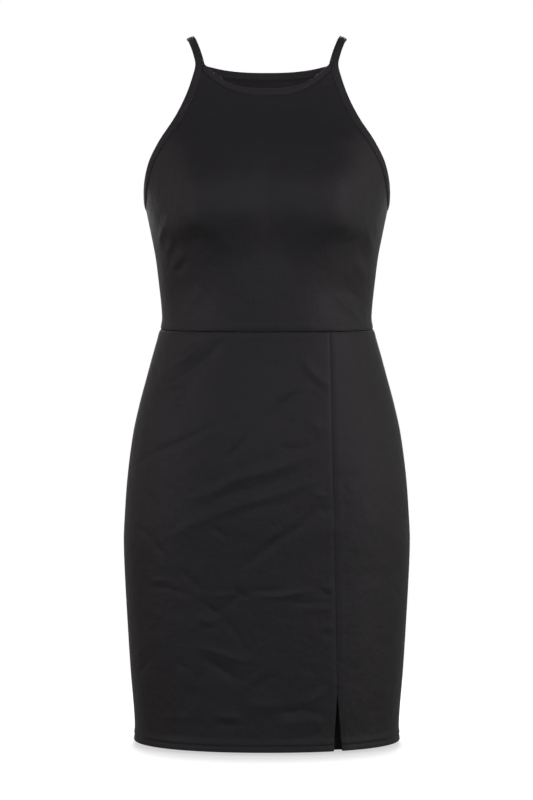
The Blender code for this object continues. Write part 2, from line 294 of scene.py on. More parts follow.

# %% [markdown]
# ## Creases
#
# Stretch cloth over a hip pulls into long shallow troughs, and a dress that has been folded
# keeps soft lines across them. Blender could simulate this, and the result would be
# believable but never the same creases twice. A sculptor would draw each one by one. This
# table does the same: a row is one crease, with the places it runs through, and how wide
# and how high it is. A negative height is a trough.
#
# Real creases are uneven, so every row has a length, a width and a height of its own.

# %% The creases of the front
# half width, height, and x and below at its ends and bends
FRONT_CREASES = [
    # the drag lines over the left hip
    (7.0, 2.4, [(-77, 359), (-93, 378), (-114, 394), (-131, 405)]),
    (7.0, -2.9, [(-50, 357), (-68, 377), (-87, 395), (-112, 412), (-133, 422)]),
    (5.0, -0.9, [(-88, 357), (-99, 373), (-120, 388)]),
    (5.0, 0.8, [(-116, 425), (-104, 422), (-94, 417)]),
    (5.0, -1.2, [(-113, 434), (-102, 435), (-92, 428)]),
    (4.1, -0.9, [(-94, 445), (-84, 450), (-75, 453)]),
    (4.1, -1.15, [(-24, 448), (-45, 455), (-74, 467), (-95, 478), (-122, 490), (-141, 500),
                  (-163, 517)]),
    (4.1, 0.45, [(-44, 463), (-74, 476), (-96, 488), (-116, 494)]),
    # the ones that start at the front seam, below the waist
    (5.0, 1.9, [(41, 379), (50, 393), (60, 404), (75, 415)]),
    (5.0, -1.3, [(48, 404), (59, 415), (73, 423)]),
    (5.0, 0.9, [(39, 414), (23, 421), (11, 431)]),
    (4.1, -1.0, [(66, 431), (54, 425), (43, 423)]),
    (3.8, -2.4, [(42, 421), (32, 426), (23, 433), (14, 440), (6, 447), (-6, 458)]),
    (3.2, -1.9, [(-9, 458), (-24, 475), (-38, 491), (-50, 504)]),
    (5.0, 1.1, [(43, 452), (56, 460), (70, 468)]),
    (4.1, -1.0, [(20, 451), (28, 459), (37, 469)]),
    (5.0, -1.4, [(11, 488), (30, 489), (47, 486), (63, 476)]),
    # the two long ridges across the thigh
    (4.1, -0.7, [(-84, 535), (-60, 525), (-38, 515), (-20, 507), (1, 500), (20, 494)]),
    (5.0, 1.2, [
        (-106, 550), (-80, 546), (-57, 537), (-39, 526), (-18, 520),
        (6, 514), (30, 506), (51, 499), (72, 493),
    ]),
    (5.0, -0.9, [
        (-84, 564), (-68, 554), (-48, 543), (-29, 538),
        (-8, 533), (13, 526), (37, 516), (61, 511),
    ]),
    (5.0, 1.2, [
        (-130, 602), (-104, 588), (-80, 575), (-60, 567), (-40, 559),
        (-19, 552), (4, 546), (23, 540), (42, 533), (70, 526),
    ]),
    (6.0, -0.5, [(-80, 587), (-50, 572), (-20, 561), (16, 552), (39, 543)]),
    (5.0, 0.9, [(53, 539), (63, 544), (74, 547)]),
    (5.0, -0.8, [(59, 557), (68, 561), (76, 557)]),
    # the long diagonal below them
    (5.0, 0.5, [(39, 569), (22, 582), (1, 597), (-20, 615)]),
    (4.1, -1.15, [
        (73, 559), (54, 569), (38, 582), (20, 593), (5, 603),
        (-10, 616), (-25, 630), (-37, 642),
    ]),
    (3.6, -1.0, [(-68, 582), (-56, 589), (-43, 599)]),
    (4.1, -0.8, [(-160, 584), (-145, 593), (-132, 608), (-119, 619)]),
    # the knot of short creases where they meet
    (3.6, -0.9, [(-109, 631), (-95, 643), (-83, 654), (-76, 661)]),
    (3.2, 0.5, [(-143, 651), (-128, 649), (-111, 649)]),
    (3.2, -0.7, [(-145, 658), (-122, 658), (-98, 663), (-82, 666)]),
    (3.6, 0.9, [(-77, 664), (-58, 664), (-38, 662)]),
    (3.6, -1.1, [(-81, 669), (-68, 680), (-55, 689)]),
    (3.6, -1.1, [(-32, 660), (-41, 672), (-53, 685)]),
    (3.2, -1.1, [(-40, 653), (-32, 662), (-20, 667)]),
    (3.2, -0.9, [(-24, 658), (-6, 658), (18, 657)]),
    (3.2, 1.1, [(-20, 665), (-2, 665), (19, 664), (40, 660), (61, 659)]),
    (3.2, 0.6, [(61, 655), (73, 655), (83, 655)]),
    (3.2, -0.9, [(28, 672), (51, 673), (80, 672)]),
    (3.2, 0.6, [(40, 680), (61, 681), (80, 680)]),
    (3.6, 0.8, [(-85, 687), (-73, 695), (-57, 694)]),
    (3.6, -0.5, [(-80, 704), (-65, 704), (-53, 699)]),
    (3.2, -1.0, [(-51, 686), (-39, 706), (-28, 722), (-19, 737)]),
    # the low ones, above the hem
    (4.1, 1.1, [(-85, 727), (-64, 731), (-44, 738), (-18, 745)]),
    (5.5, -1.2, [(-81, 738), (-64, 747), (-45, 759), (-25, 768)]),
    (3.6, 0.8, [(-20, 769), (-7, 759), (7, 747)]),
    (3.6, -0.5, [(-15, 778), (-1, 767), (16, 758)]),
    (8.0, 0.9, [(-32, 792), (-6, 796), (22, 797)]),
    (4.1, -0.9, [(4, 806), (28, 804), (49, 803), (67, 809)]),
    (5.5, 1.1, [(16, 819), (40, 816), (66, 818)]),
    (5.5, -0.9, [(35, 836), (52, 834), (66, 828)]),
    (4.1, 1.0, [(-66, 810), (-46, 811), (-27, 810)]),
    (4.1, -0.8, [(-63, 818), (-44, 820), (-25, 819)]),
    (5.0, 0.6, [(-146, 730), (-157, 744), (-166, 759)]),
    (5.0, -0.8, [(-133, 737), (-145, 752), (-156, 767)]),
    (5.0, -0.5, [(-114, 747), (-102, 752), (-90, 753)]),
    (5.0, -0.6, [(-100, 775), (-91, 790), (-92, 800)]),
    (6.0, 0.9, [(-123, 814), (-104, 814), (-87, 811)]),
    (4.1, 0.8, [(80, 772), (61, 786), (42, 796)]),
    (6.0, -0.6, [(117, 803), (132, 810), (147, 807)]),
    (7.0, -0.8, [(102, 375), (114, 390), (126, 419)]),
    # puckers at the front seam
    (3.6, 0.6, [(63, 701), (72, 702), (79, 703)]),
    (3.6, -0.6, [(63, 711), (72, 711), (79, 713)]),
    (3.2, -0.5, [(65, 663), (73, 663), (79, 663)]),
    (3.2, 0.5, [(68, 747), (74, 749), (80, 751)]),
    # drag lines at the sides of the bodice
    (7.0, 1.2, [(-116, 212), (-124, 229), (-131, 249)]),
    (5.5, 0.95, [(-111, 236), (-116, 250), (-123, 267)]),
    (5.5, -1.0, [(-105, 239), (-110, 252), (-115, 264)]),
    (5.5, 1.05, [(-98, 257), (-106, 266), (-115, 276)]),
    (5.5, -1.1, [(-93, 262), (-102, 273), (-109, 282)]),
    (8.0, -1.3, [(-72, 230), (-85, 235), (-99, 244)]),
    (9.0, 1.2, [(-78, 300), (-91, 317), (-105, 334)]),
    (7.0, -0.5, [(-70, 310), (-80, 324), (-93, 340)]),
    (6.0, 0.8, [(117, 231), (124, 245), (129, 259)]),
    (5.5, -0.8, [(111, 251), (116, 261), (122, 270)]),
    (5.5, 0.95, [(104, 265), (112, 276), (120, 285)]),
    (8.0, -1.1, [(92, 293), (103, 306), (116, 321)]),
    (5.5, 1.6, [(79, 304), (90, 315), (103, 328), (117, 342)]),
    (7.0, -0.5, [(72, 316), (84, 328), (96, 340)]),
    (8.0, -0.7, [(78, 236), (90, 238), (102, 244)]),
]
print(len(FRONT_CREASES), "creases on the front")

# %% The creases of the back
BACK_CREASES = [
    (9.0, -1.56, [(52, 356), (90, 384), (124, 404)]),
    (6.0, 0.78, [(66, 378), (94, 398), (116, 412)]),
    (7.0, -1.56, [(34, 436), (74, 452), (112, 474), (150, 496)]),
    (4.5, 1.04, [(44, 451), (84, 466), (132, 492)]),
    (6.0, -1.43, [(-60, 402), (-28, 426), (8, 452), (30, 478)]),
    (4.5, 0.91, [(-52, 414), (-18, 440), (14, 468)]),
    (6.5, -1.43, [(-74, 470), (-30, 482), (16, 500), (58, 522)]),
    (4.5, 1.04, [(-56, 482), (-14, 494), (34, 514), (84, 536)]),
    (6.0, -1.3, [(-96, 524), (-50, 538), (4, 546), (46, 566)]),
    (4.5, 0.91, [(-104, 512), (-66, 522), (-30, 534)]),
    (5.5, -1.17, [(-70, 576), (-34, 594), (6, 618), (30, 640)]),
    (4.5, 0.78, [(-52, 574), (-16, 598), (16, 622)]),
    (4.5, -1.04, [(-98, 652), (-52, 660), (-8, 656), (30, 662)]),
    (4.5, 1.04, [(-88, 668), (-40, 672), (4, 670)]),
    (4.5, -0.91, [(52, 648), (76, 664), (104, 672)]),
    (5.0, 0.91, [(34, 664), (56, 684), (70, 704)]),
    (5.0, -1.04, [(40, 690), (24, 716), (6, 742)]),
    (5.5, -1.17, [(-112, 716), (-78, 728), (-36, 744)]),
    (4.5, 0.91, [(-100, 730), (-64, 744), (-28, 758)]),
    (6.5, -0.91, [(30, 784), (58, 796), (92, 800)]),
    (5.5, -0.91, [(-84, 802), (-50, 812), (-16, 808)]),
    # across the small of the back, where a dress is a little too long
    (10.0, -1.69, [(-84, 306), (-30, 316), (34, 314), (88, 300)]),
    (9.0, 1.3, [(-70, 290), (-16, 298), (52, 294)]),
    (9.0, -1.3, [(-48, 274), (8, 282), (70, 272)]),
    (8.0, 1.3, [(92, 322), (108, 304), (122, 280)]),
    (8.0, -1.17, [(-90, 330), (-106, 306), (-120, 276)]),
    (7.0, -1.17, [(112, 226), (98, 246), (78, 262)]),
    (7.0, 1.04, [(-124, 226), (-108, 244), (-90, 258)]),
]
print(len(BACK_CREASES), "creases on the back")


# %% [markdown]
# A crease fades at both ends and leans on the line through its places. For each point of
# the cloth, the nearest spot on that line says how far away the crease is, and a bell curve
# turns the distance into a height. A plain bell looks like a worm under the cloth, so its
# power is below two, which gives the crest a slight edge and the flanks a long run-out.

# %% A smooth line through a few places
def spline(points, steps):
    """A smooth line through the inner points; the first and last only steer it."""
    line = []
    for before, here, after, beyond in zip(points, points[1:], points[2:], points[3:]):
        span = np.linalg.norm(after - here)
        leave = (after - before) / (span + np.linalg.norm(here - before)) * span
        arrive = (beyond - here) / (span + np.linalg.norm(beyond - after)) * span
        line += [hermite(t, here, leave, after, arrive) for t in np.arange(steps) / steps]
    return np.array(line + [points[-2]])


def smooth_line(places, steps):
    """So many steps between each two places, passing through them all."""
    points = [np.array(place, dtype=float) for place in places]
    points = [2 * points[0] - points[1]] + points + [2 * points[-1] - points[-2]]
    return spline(points, steps)


# %% The height of the creases anywhere on the cloth
CREST = 1.5                 # a bell's own power would be 2


def crease_line(path):
    """A crease's places, as millimetres round and below."""
    line = smooth_line(path, 6)
    girth = degrees_at(line[:, 0], line[:, 1]) * girth_scale(line[:, 1])
    return np.stack([girth, line[:, 1]], axis=-1)


CREASES = {
    face: [(half, height, crease_line(path)) for half, height, path in rows]
    for face, rows in (("front", FRONT_CREASES), ("back", BACK_CREASES))
}


def crease_height(face, girth, below):
    """The sum of a face's creases at places on it."""
    total = np.zeros_like(girth)
    for number, (half, height, line) in enumerate(CREASES[face]):
        low = line.min(axis=0) - 3 * half
        high = line.max(axis=0) + 3 * half
        near = (girth > low[0]) & (girth < high[0]) & (below > low[1]) & (below < high[1])
        here = np.stack([girth[near], below[near]], axis=-1)[:, None]
        start, run = line[:-1], np.diff(line, axis=0)
        along = ((here - start) * run).sum(axis=-1) / (run**2).sum(axis=-1)
        along = np.clip(along, 0, 1)
        away = np.linalg.norm(here - start - along[..., None] * run, axis=-1)
        nearest = away.argmin(axis=1)
        pick = np.arange(len(nearest))
        share = (nearest + along[pick, nearest]) / len(start)
        uneven = 1 + 0.3 * np.sin(5.3 * share + 1.7 * number)
        fade = np.sin(math.pi * np.clip(share, 0, 1)) ** 0.7 * uneven
        total[near] += height * fade * np.exp(-((away[pick, nearest] / half) ** CREST))
    return total


drag_line = crease_height("front", np.array([-70.0]), np.array([380.0]))
print("a drag line's height:", drag_line.round(2))

# %% [markdown]
# ## Cloth with turned edges
#
# A panel of cloth never ends in a sharp rim where it is sewn. Its edge is turned inwards, so
# a seam is a small valley between two rolled lips. A Bevel could round each rim, but it
# would cut every panel's corner the same on both sides of the wall. Rolling the sheet
# before it is thickened is what the cloth does.
#
# So a panel is a grid whose lines crowd towards the edges. Each grid line keeps three
# numbers: a share of the way across, millimetres to add to that, and how deep it is rolled.
# An edge turned by 90 degrees points straight inwards. At the slit it is turned by less.

# %% Grid lines across a panel
WALL = 0.9
ROLL = 0.95                 # the radius of a turned edge
SEAM = 0.3                  # the gap between two panels
HEM_TURN = 18.0


def lip(turned):
    """From the bottom of a rolled edge to its top: millimetres in, and depth."""
    turn = np.radians(turned) * np.array([1, 0.75, 0.5, 0.25, 0])
    inwards = ROLL * (math.sin(turn[0]) - np.sin(turn))
    return np.stack([inwards, ROLL - ROLL * np.cos(turn)], axis=-1)


def start_lines(turned=90):
    rolled = [(0, inwards, depth) for inwards, depth in lip(turned)]
    return rolled + [(0, inwards, 0) for inwards in (1.7, 2.7, 4.0, 5.6, 7.4)]


def stop_lines(turned=90):
    return [(1 - share, -inwards, depth) for share, inwards, depth in start_lines(turned)[::-1]]


def middle_lines(length, cell, start=9.4, stop=9.4):
    """Even lines between the crowded ones."""
    count = max(round((length - start - stop) / cell), 2)
    shares = np.linspace(0, 1, count + 1)
    return [(share, start * (1 - share) - stop * share, 0) for share in shares]


def across_lines(length, cell, left=90, right=90):
    """Lines from edge to edge, whose edges are rolled by so many degrees."""
    lines = start_lines(left) + middle_lines(length, cell) + stop_lines(right)
    return np.array(lines, dtype=float)


print("lines across a 300 mm panel:", len(across_lines(300, 2.5)))


# %% [markdown]
# The hem is turned up 18 mm and stitched, so its cloth runs down, round a small fold, and
# back up inside. The same three numbers say this too, with a fold of half a circle.

# %% Grid lines down to a turned hem
def hem_lines():
    low = [(1, -inwards, 0) for inwards in np.arange(26.0, 1.5, -1.25)]
    turn = np.radians(np.linspace(0, 180, 9))
    fold = [(1, ROLL * math.sin(a) - ROLL, ROLL - ROLL * math.cos(a)) for a in turn]
    inside = [(1, -ROLL - up, 2 * ROLL) for up in (1.5, 4, 7, 10, 13, 15.5, HEM_TURN - 1)]
    return low + fold + inside


def down_lines(length, cell):
    middle = middle_lines(length, cell, stop=28.0)
    return np.array(start_lines() + middle + hem_lines(), dtype=float)


print("lines down the skirt:", len(down_lines(HEM - WAIST, 2.5)))

# %% [markdown]
# Sewing leaves its own low relief. The cloth sinks a little at a seam, rises over the
# allowance that is pressed open behind it, and puckers by fractions of a millimetre where
# thread and cloth have shrunk unequally. These are real shapes at the size of a fingertip,
# so they go into the sheet, where a light from the side finds them.

# %% The relief beside seams and along the hem
STITCH_UP = 7.0             # the hem's stitching, above its edge


def bell(distance, half):
    return np.exp(-((distance / half) ** 2))


def seam_relief(distance, along, pucker=0.05):
    """Height beside a seam, at so many millimetres from it."""
    sink = -0.35 * bell(distance, 2.2)
    allowance = 0.22 * bell(distance - 6.0, 3.0)
    ripple = np.sin(along / 1.9 + 2.3 * np.sin(along / 17)) * np.sin(along / 31 + 1)
    return sink + allowance + pucker * ripple * bell(distance - 3.0, 4.0)


def hem_relief(up):
    """Height above the hem's edge: a stitched groove, and the step at the turn's edge."""
    groove = -0.55 * bell(up - STITCH_UP, 1.2)
    doubled = eased(np.clip((HEM_TURN - up) / (HEM_TURN - STITCH_UP - 1.5), 0, 1))
    return groove + WALL * doubled + 0.45 * bell(up, 3.5)


print("the hem stands out", round(float(hem_relief(12.0)), 2), "mm")


# %% A sheet of cloth from grids
def girth_at(degrees, below):
    """Millimetres round from the centre of the front, or from the centre of the back."""
    behind = np.abs(degrees) > 90
    return np.where(behind, 180 - degrees, degrees) * girth_scale(below)


def cloth_at(degrees, below, off):
    """Points of the creased cloth, moved off it by so many millimetres."""
    degrees, below, off = np.broadcast_arrays(degrees, below, off)
    girth = girth_at(degrees, below)
    raised = np.array(off, dtype=float)
    behind = np.abs(degrees) > 90
    for face, shown in (("front", ~behind), ("back", behind)):
        raised[shown] += crease_height(face, girth[shown], below[shown])
    down = down_to(below)
    return on_figure(degrees, down) + outwards(degrees, down) * raised[:, None]


HEART = Vector((0.0, 0.0, -0.15))       # inside the figure, in metres


def face_away(bm, shown, grid, facing):
    """Turns a grid so that the faces that show look away from the figure, or to it."""
    bm.normal_update()
    out = sum(face.normal.dot(face.calc_center_median() - HEART) for face in shown)
    if out * facing < 0:
        bmesh.ops.reverse_faces(bm, faces=grid)


def lay_grid(bm, columns, rows, place, facing=1, closed=False):
    """One grid of cloth; place gives its points and its flat places, both in mm."""
    flat_layer = bm.loops.layers.uv.verify()
    made = bmesh.ops.create_grid(bm, x_segments=columns - 1, y_segments=rows - 1, size=1.0)
    verts = made["verts"]
    corner = np.array([vert.co.xy for vert in verts])
    column = np.rint((corner[:, 0] + 1) / 2 * (columns - 1)).astype(int)
    row = np.rint((corner[:, 1] + 1) / 2 * (rows - 1)).astype(int)
    points, flat = place(column, row)
    for vert, point in zip(verts, points * MM):
        vert.co = point
    where = dict(zip(verts, (flat * MM).tolist()))
    first_half = {vert for vert, number in zip(verts, row) if number <= rows // 2}
    grid = list({face for vert in verts for face in vert.link_faces})
    for face in grid:
        for loop in face.loops:
            loop[flat_layer].uv = where[loop.vert]
    shown = [face for face in grid if first_half.issuperset(face.verts)]
    face_away(bm, shown, grid, facing)
    if closed:
        bmesh.ops.remove_doubles(bm, verts=verts, dist=1e-6)


spot = cloth_at(np.array([20.0]), np.array([500.0]), 0.0)
print("a point of the cloth:", spot.round(1))

# %% [markdown]
# Every piece of cloth is finished in the same way: its grids become one mesh, the flat
# places become its UV map, so a weave follows the cloth, and a Solidify modifier gives the
# wall, growing inwards from the face that shows.

# %% A finished piece of cloth
pieces = {}


def new_object(name, data):
    made = bpy.data.objects.new(name, data)
    bpy.context.scene.collection.objects.link(made)
    return made


def mesh_object(name, bm, finish):
    """An object from a bmesh, which is then freed."""
    mesh = bpy.data.meshes.new(name)
    bm.to_mesh(mesh)
    bm.free()
    mesh.materials.append(finish)
    return new_object(name, mesh)


def cloth_piece(name, grids, finish, wall=WALL):
    """An object from grids, each with its columns, rows, place and facing."""
    bm = bmesh.new()
    for grid in grids:
        lay_grid(bm, *grid)
    piece = mesh_object(name, bm, finish)
    piece.data.uv_layers[0].name = "Cloth"
    piece.data.shade_smooth()
    thicken = piece.modifiers.new("Wall", "SOLIDIFY")
    thicken.thickness = wall * MM
    thicken.offset = -1.0
    pieces[name] = piece
    print(f"{name}: {len(piece.data.polygons)} faces before its wall")


# %% [markdown]
# ## Shader maths as Python
#
# A material is a graph of small sums. Wiring them one by one hides what they say, so a
# small class wraps a socket and lets a sum be written as a sum. Every other node comes
# from one method that takes its type, its settings and its sockets.

# %% A number in a shader
class Value:
    """A shader socket. Sums and products of it add their own Math nodes."""

    def __init__(self, finish, socket):
        self.finish = finish
        self.socket = socket

    def maths(self, operation, first, second):
        sockets = {0: first, 1: second}
        return self.finish.node("ShaderNodeMath", {"operation": operation}, sockets)

    def __add__(self, other):
        return self.maths("ADD", self, other)

    def __radd__(self, other):
        return self.maths("ADD", other, self)

    def __sub__(self, other):
        return self.maths("SUBTRACT", self, other)

    def __rsub__(self, other):
        return self.maths("SUBTRACT", other, self)

    def __mul__(self, other):
        return self.maths("MULTIPLY", self, other)

    def __rmul__(self, other):
        return self.maths("MULTIPLY", other, self)

    def __pow__(self, other):
        return self.maths("POWER", self, other)


# %% A finish, and the one method that adds a node
class Finish:
    """A material whose nodes are added by node()."""

    def __init__(self, name):
        self.material = bpy.data.materials.new(name)
        self.material.use_nodes = True
        self.tree = self.material.node_tree
        self.tree.nodes.clear()

    def node(self, kind, settings=None, sockets=None, output=0):
        new = self.tree.nodes.new(kind)
        for key, value in (settings or {}).items():
            setattr(new, key, value)
        for key, value in (sockets or {}).items():
            if isinstance(value, Value):
                self.tree.links.new(value.socket, new.inputs[key])
            else:
                new.inputs[key].default_value = value
        return Value(self, new.outputs[output]) if new.outputs else None

    def noise(self, place, scale, detail=2.0, roughness=0.5):
        sockets = {"Vector": place, "Scale": scale, "Detail": detail, "Roughness": roughness}
        return self.node("ShaderNodeTexNoise", {"noise_dimensions": "3D"}, sockets)

    def bump(self, height, distance, strength=1.0, normal=None):
        sockets = {"Height": height, "Distance": distance, "Strength": strength}
        if normal:
            sockets["Normal"] = normal
        return self.node("ShaderNodeBump", {}, sockets)

    def mix(self, factor, first, second):
        """Between two colours."""
        sockets = {"Factor": factor, 6: first, 7: second}
        return self.node("ShaderNodeMix", {"data_type": "RGBA"}, sockets, output=2)

    def surface(self, sockets):
        shader = self.node("ShaderNodeBsdfPrincipled", {}, sockets, output="BSDF")
        self.node("ShaderNodeOutputMaterial", {}, {"Surface": shader})
        return self.material


# %% [markdown]
# ## The cloth's finish
#
# The cloth is a black double knit: dense, matt and smooth, with a faint bloom where it
# turns away. Plain black paint would look like plastic, because it has no grain to break up
# its highlights. An image of the knit would repeat. Here the ribs and courses of the knit
# are two waves on the cloth's own flat places. Noise makes its colour and its surface
# uneven at four sizes: blotches a hand wide, dents, mottling a finger wide, and fibre.

# %% The knit of the panels
WAVE = 0.31416              # a wave texture of this scale repeats once a metre


def knit_finish(name, dark, light, rough, rib_pitch, course_pitch, shine=0.15, bloom=0.2):
    """A knit whose ribs and courses are so many metres apart."""
    finish = Finish(name)
    flat = finish.node("ShaderNodeUVMap", {"uv_map": "Cloth"})
    place = finish.node("ShaderNodeTexCoord", output="Object")
    ribs, courses = (
        finish.node(
            "ShaderNodeTexWave",
            {"wave_type": "BANDS", "bands_direction": axis},
            {"Vector": flat, "Scale": WAVE / pitch, "Distortion": 0.6, "Detail": 1.0},
        )
        for axis, pitch in (("X", rib_pitch), ("Y", course_pitch))
    )
    blotches = finish.noise(place, 9.0, detail=3.0)
    dents = finish.noise(place, 30.0, detail=2.0)
    mottling = finish.noise(place, 75.0, detail=3.0, roughness=0.6)
    fibre = finish.noise(flat, 1700.0, detail=2.0, roughness=0.7)
    tone = blotches * 0.5 + mottling * 0.3 + fibre * 0.2
    colour = finish.mix(tone, dark, light)
    knit = ribs * 0.5 + courses * 0.3 + fibre * 0.5
    soft = finish.bump(blotches, 0.0016)
    dented = finish.bump(dents, 0.0014, normal=soft)
    mottled = finish.bump(mottling, 0.0008, normal=dented)
    woven = finish.bump(knit, 0.00009, strength=0.7, normal=mottled)
    return finish.surface({
        "Base Color": colour,
        "Roughness": rough + mottling * 0.10 + knit * 0.06,
        "Normal": woven,
        "Specular IOR Level": shine,
        "Sheen Weight": bloom,
        "Sheen Roughness": 0.4,
        "Sheen Tint": (0.75, 0.73, 0.78, 1.0),
    })


KNIT = knit_finish(
    "black double knit",
    (0.0070, 0.0064, 0.0074, 1.0), (0.0125, 0.0115, 0.0130, 1.0),
    0.50, 0.0011, 0.0008,
)
print("finish:", KNIT.name, "with", len(KNIT.node_tree.nodes), "nodes")

# %% [markdown]
# The bindings are cut crosswise from the same knit, so their ribs and courses change
# places; their colour is paler than the panels' and they shine less. The underlap is given
# a far darker colour than the cloth, a painted shade, so the slit stays dark.

# %% The bindings, and the underlap's knit, darker as painted shade
BINDING = knit_finish(
    "black knit binding",
    (0.0145, 0.0133, 0.0150, 1.0), (0.0235, 0.0218, 0.0240, 1.0),
    0.50, 0.0008, 0.0011, shine=0.08, bloom=0.08,
)
# painted shade: the underlap's colour is far darker than the cloth's, so the slit reads dark
SLIT_SHADE_KNIT = knit_finish(
    "black knit with painted slit shade",
    (0.0040, 0.0036, 0.0040, 1.0), (0.0070, 0.0063, 0.0068, 1.0),
    0.80, 0.0011, 0.0008,
)
print("finishes:", BINDING.name, "and", SLIT_SHADE_KNIT.name)


# %% The sewing thread
def thread_finish():
    """Spun polyester: a twist of two plies, a little shinier than the cloth."""
    finish = Finish("black sewing thread")
    place = finish.node("ShaderNodeTexCoord", output="Object")
    twist = finish.noise(place, 2600.0, detail=2.0)
    colour = finish.mix(twist, (0.006, 0.0055, 0.0062, 1.0), (0.016, 0.015, 0.0165, 1.0))
    return finish.surface({
        "Base Color": colour,
        "Roughness": 0.42 + twist * 0.12,
        "Normal": finish.bump(twist, 0.00005),
        "Specular IOR Level": 0.30,
    })


THREAD = thread_finish()
print("finish:", THREAD.name)

# %% [markdown]
# ## The armholes
#
# A strip of the same cloth is folded over the raw edge of each armhole and runs on over the
# shoulder as the strap, so one closed ring shapes both. Everything on the bodice ends at
# this ring, so its middle line comes first. It is a short table again: how far below, and
# how many degrees round from the centre, with the lengths taken over the shoulder's curve.

# %% The middle line of the armhole binding
BINDING_WIDTH = 9.5

# below, degrees round from the centre front (or the centre back)
ARMHOLE = [
    (0.0, 33.9),
    (6.0, 32.3),
    (17.5, 30.0),
    (30.0, 28.7),
    (42.0, 29.5),
    (71.0, 34.0),
    (98.0, 40.8),
    (126.0, 51.7),
    (148.0, 60.6),
    (165.0, 66.6),
    (180.0, 72.7),
    (192.0, 78.8),
    (199.0, 84.0),
    (201.8, 90.0),
]


def around(face, degrees):
    """Degrees from the centre of a face, as degrees from the centre front."""
    return degrees if face == "front" else 180 - degrees


def armhole_line(face, steps=6):
    """The middle line as points, with its directions across the strip and outwards."""
    places = [np.array([degrees, float(down_to(below))]) for below, degrees in ARMHOLE]
    over = places[1] * (1, -1)
    under = np.array([180 - places[-2][0], places[-2][1]])
    line = spline([over] + places + [under], steps)
    degrees, down = around(face, line[:, 0]), line[:, 1]
    spots, out = on_figure(degrees, down), outwards(degrees, down)
    mirrored = np.array([1, -1, 1])
    beyond = np.concatenate([spots[1:2] * mirrored, spots, spots[-2:-1] * mirrored])
    along = unit(beyond[2:] - beyond[:-2])
    across = unit(np.cross(along, out) if face == "front" else np.cross(out, along))
    return spots, across, out


ARMHOLES = {face: armhole_line(face) for face in ("front", "back")}
ring = np.concatenate([ARMHOLES["front"][0], ARMHOLES["back"][0][::-1]])
print("each armhole binding is", round(float(lengths_of(ring)[-1])), "mm round")


# %% The seam where the bodice meets the armhole binding
def place_of(points):
    """Degrees round and below, for points near the figure."""
    below = np.maximum(SHOULDER_TOP - points[:, 2], 0)
    by_x = np.abs(degrees_at(points[:, 0], below))
    depth = np.where(points[:, 1] < 0, through(SECTIONS, 2, below), through(SECTIONS, 3, below))
    share = np.minimum(np.abs(points[:, 1]) / depth, 1)
    by_y = np.degrees(np.arccos(share ** (SQUARENESS / 2)))
    wide = np.abs(points[:, 0]) >= 0.97 * through(SECTIONS, 1, below)
    degrees = np.where(wide, by_y, by_x)
    return np.where(points[:, 1] > 0, 180 - degrees, degrees), below


def armhole_seam(face, beyond):
    """A line so many millimetres beyond the binding's edge: degrees, and below."""
    spots, across, out = ARMHOLES[face]
    degrees, below = place_of(spots + across * (BINDING_WIDTH / 2 + beyond))
    return around(face, degrees), below


UNDER = 0.8                 # how far the bodice's edge passes under a binding
ARMHOLE_SEAMS = {face: armhole_seam(face, SEAM) for face in ("front", "back")}
ARMHOLE_TUCKS = {face: armhole_seam(face, -UNDER) for face in ("front", "back")}


def armhole_seam_at(face, below):
    """The seam's degrees from the centre at a height below the straps."""
    degrees, heights = ARMHOLE_SEAMS[face]
    steps = len(heights) // 12
    return np.interp(below, heights[steps:], degrees[steps:])


print("armhole seam, 100 mm below:", round(float(armhole_seam_at("front", 100.0)), 1), "degrees")

# %% [markdown]
# ## The bodice
#
# Front and back are one panel each, from the waist seam up to the neck. The side of the
# panel is the side seam first and the armhole above it, with a sharp corner between them. A
# square grid can follow that whole side as one edge. Its rows then bend from the straight
# waist into the round neck, so the last row is the neck's own seam.
#
# An edge that meets a binding isn't turned. It passes a little way under the binding and
# sinks as it goes, so that nothing shows between the two.

# %% The neck's edge and seam
# below at the centre and at the corner, the corner's distance, how suddenly it rises
NECK_EDGE = {"front": (60.6, 33.8, 72.0, 2.8), "back": (37.8, 30.2, 72.0, 2.6)}
NECK_SEAM = {"front": (68.9, 38.4, 77.1, 2.6), "back": (47.0, 38.6, 77.1, 2.6)}


def neck_height(line, face, x):
    centre, corner, reach, suddenness = line[face]
    return centre - (centre - corner) * (np.abs(x) / reach) ** suddenness


def half_gap(below):
    """Half a side seam's gap, as degrees round."""
    return np.degrees(SEAM / 2 / through(SECTIONS, 2, below))


def bodice_side(face, cell=2.4):
    """The side of a bodice panel, waist to neck: degrees from the centre, and below."""
    tuck_degrees, tuck_below = ARMHOLE_TUCKS[face]
    corner = NECK_SEAM[face][1]
    underarm = tuck_below[-1]
    side = np.linspace(BODICE_ENDS, underarm, round((BODICE_ENDS - underarm) / cell) + 1)
    above = tuck_below[-2::-1]
    keep = above > corner + 2
    line = np.concatenate([side, above[keep], [corner]])
    end = np.interp(corner, tuck_below[8:], tuck_degrees[8:])
    edge = 90 - half_gap(underarm)
    degrees = np.concatenate([np.full(len(side), edge), tuck_degrees[-2::-1][keep], [end]])
    return degrees, line


print("rows of the bodice's side:", len(bodice_side("front")[1]))


# %% A bodice panel
def even_rows(degrees, below, cell=2.4):
    """The side's places at even steps along it, with a share of the way for each."""
    scale = girth_scale(below)
    steps = np.hypot(np.diff(degrees) * (scale[1:] + scale[:-1]) / 2, np.diff(below))
    length = lengths(steps)
    near = [0, 0.75, 1.7, 2.9, 4.3, 6.0, 8.0]
    middle = np.linspace(10.2, length[-1] - 7, round(length[-1] / cell))
    at = np.concatenate([near, middle, length[-1] - np.array([5.2, 3.6, 2.2, 1.2, 0.5, 0])])
    return np.interp(at, length, degrees), np.interp(at, length, below), at / length[-1]


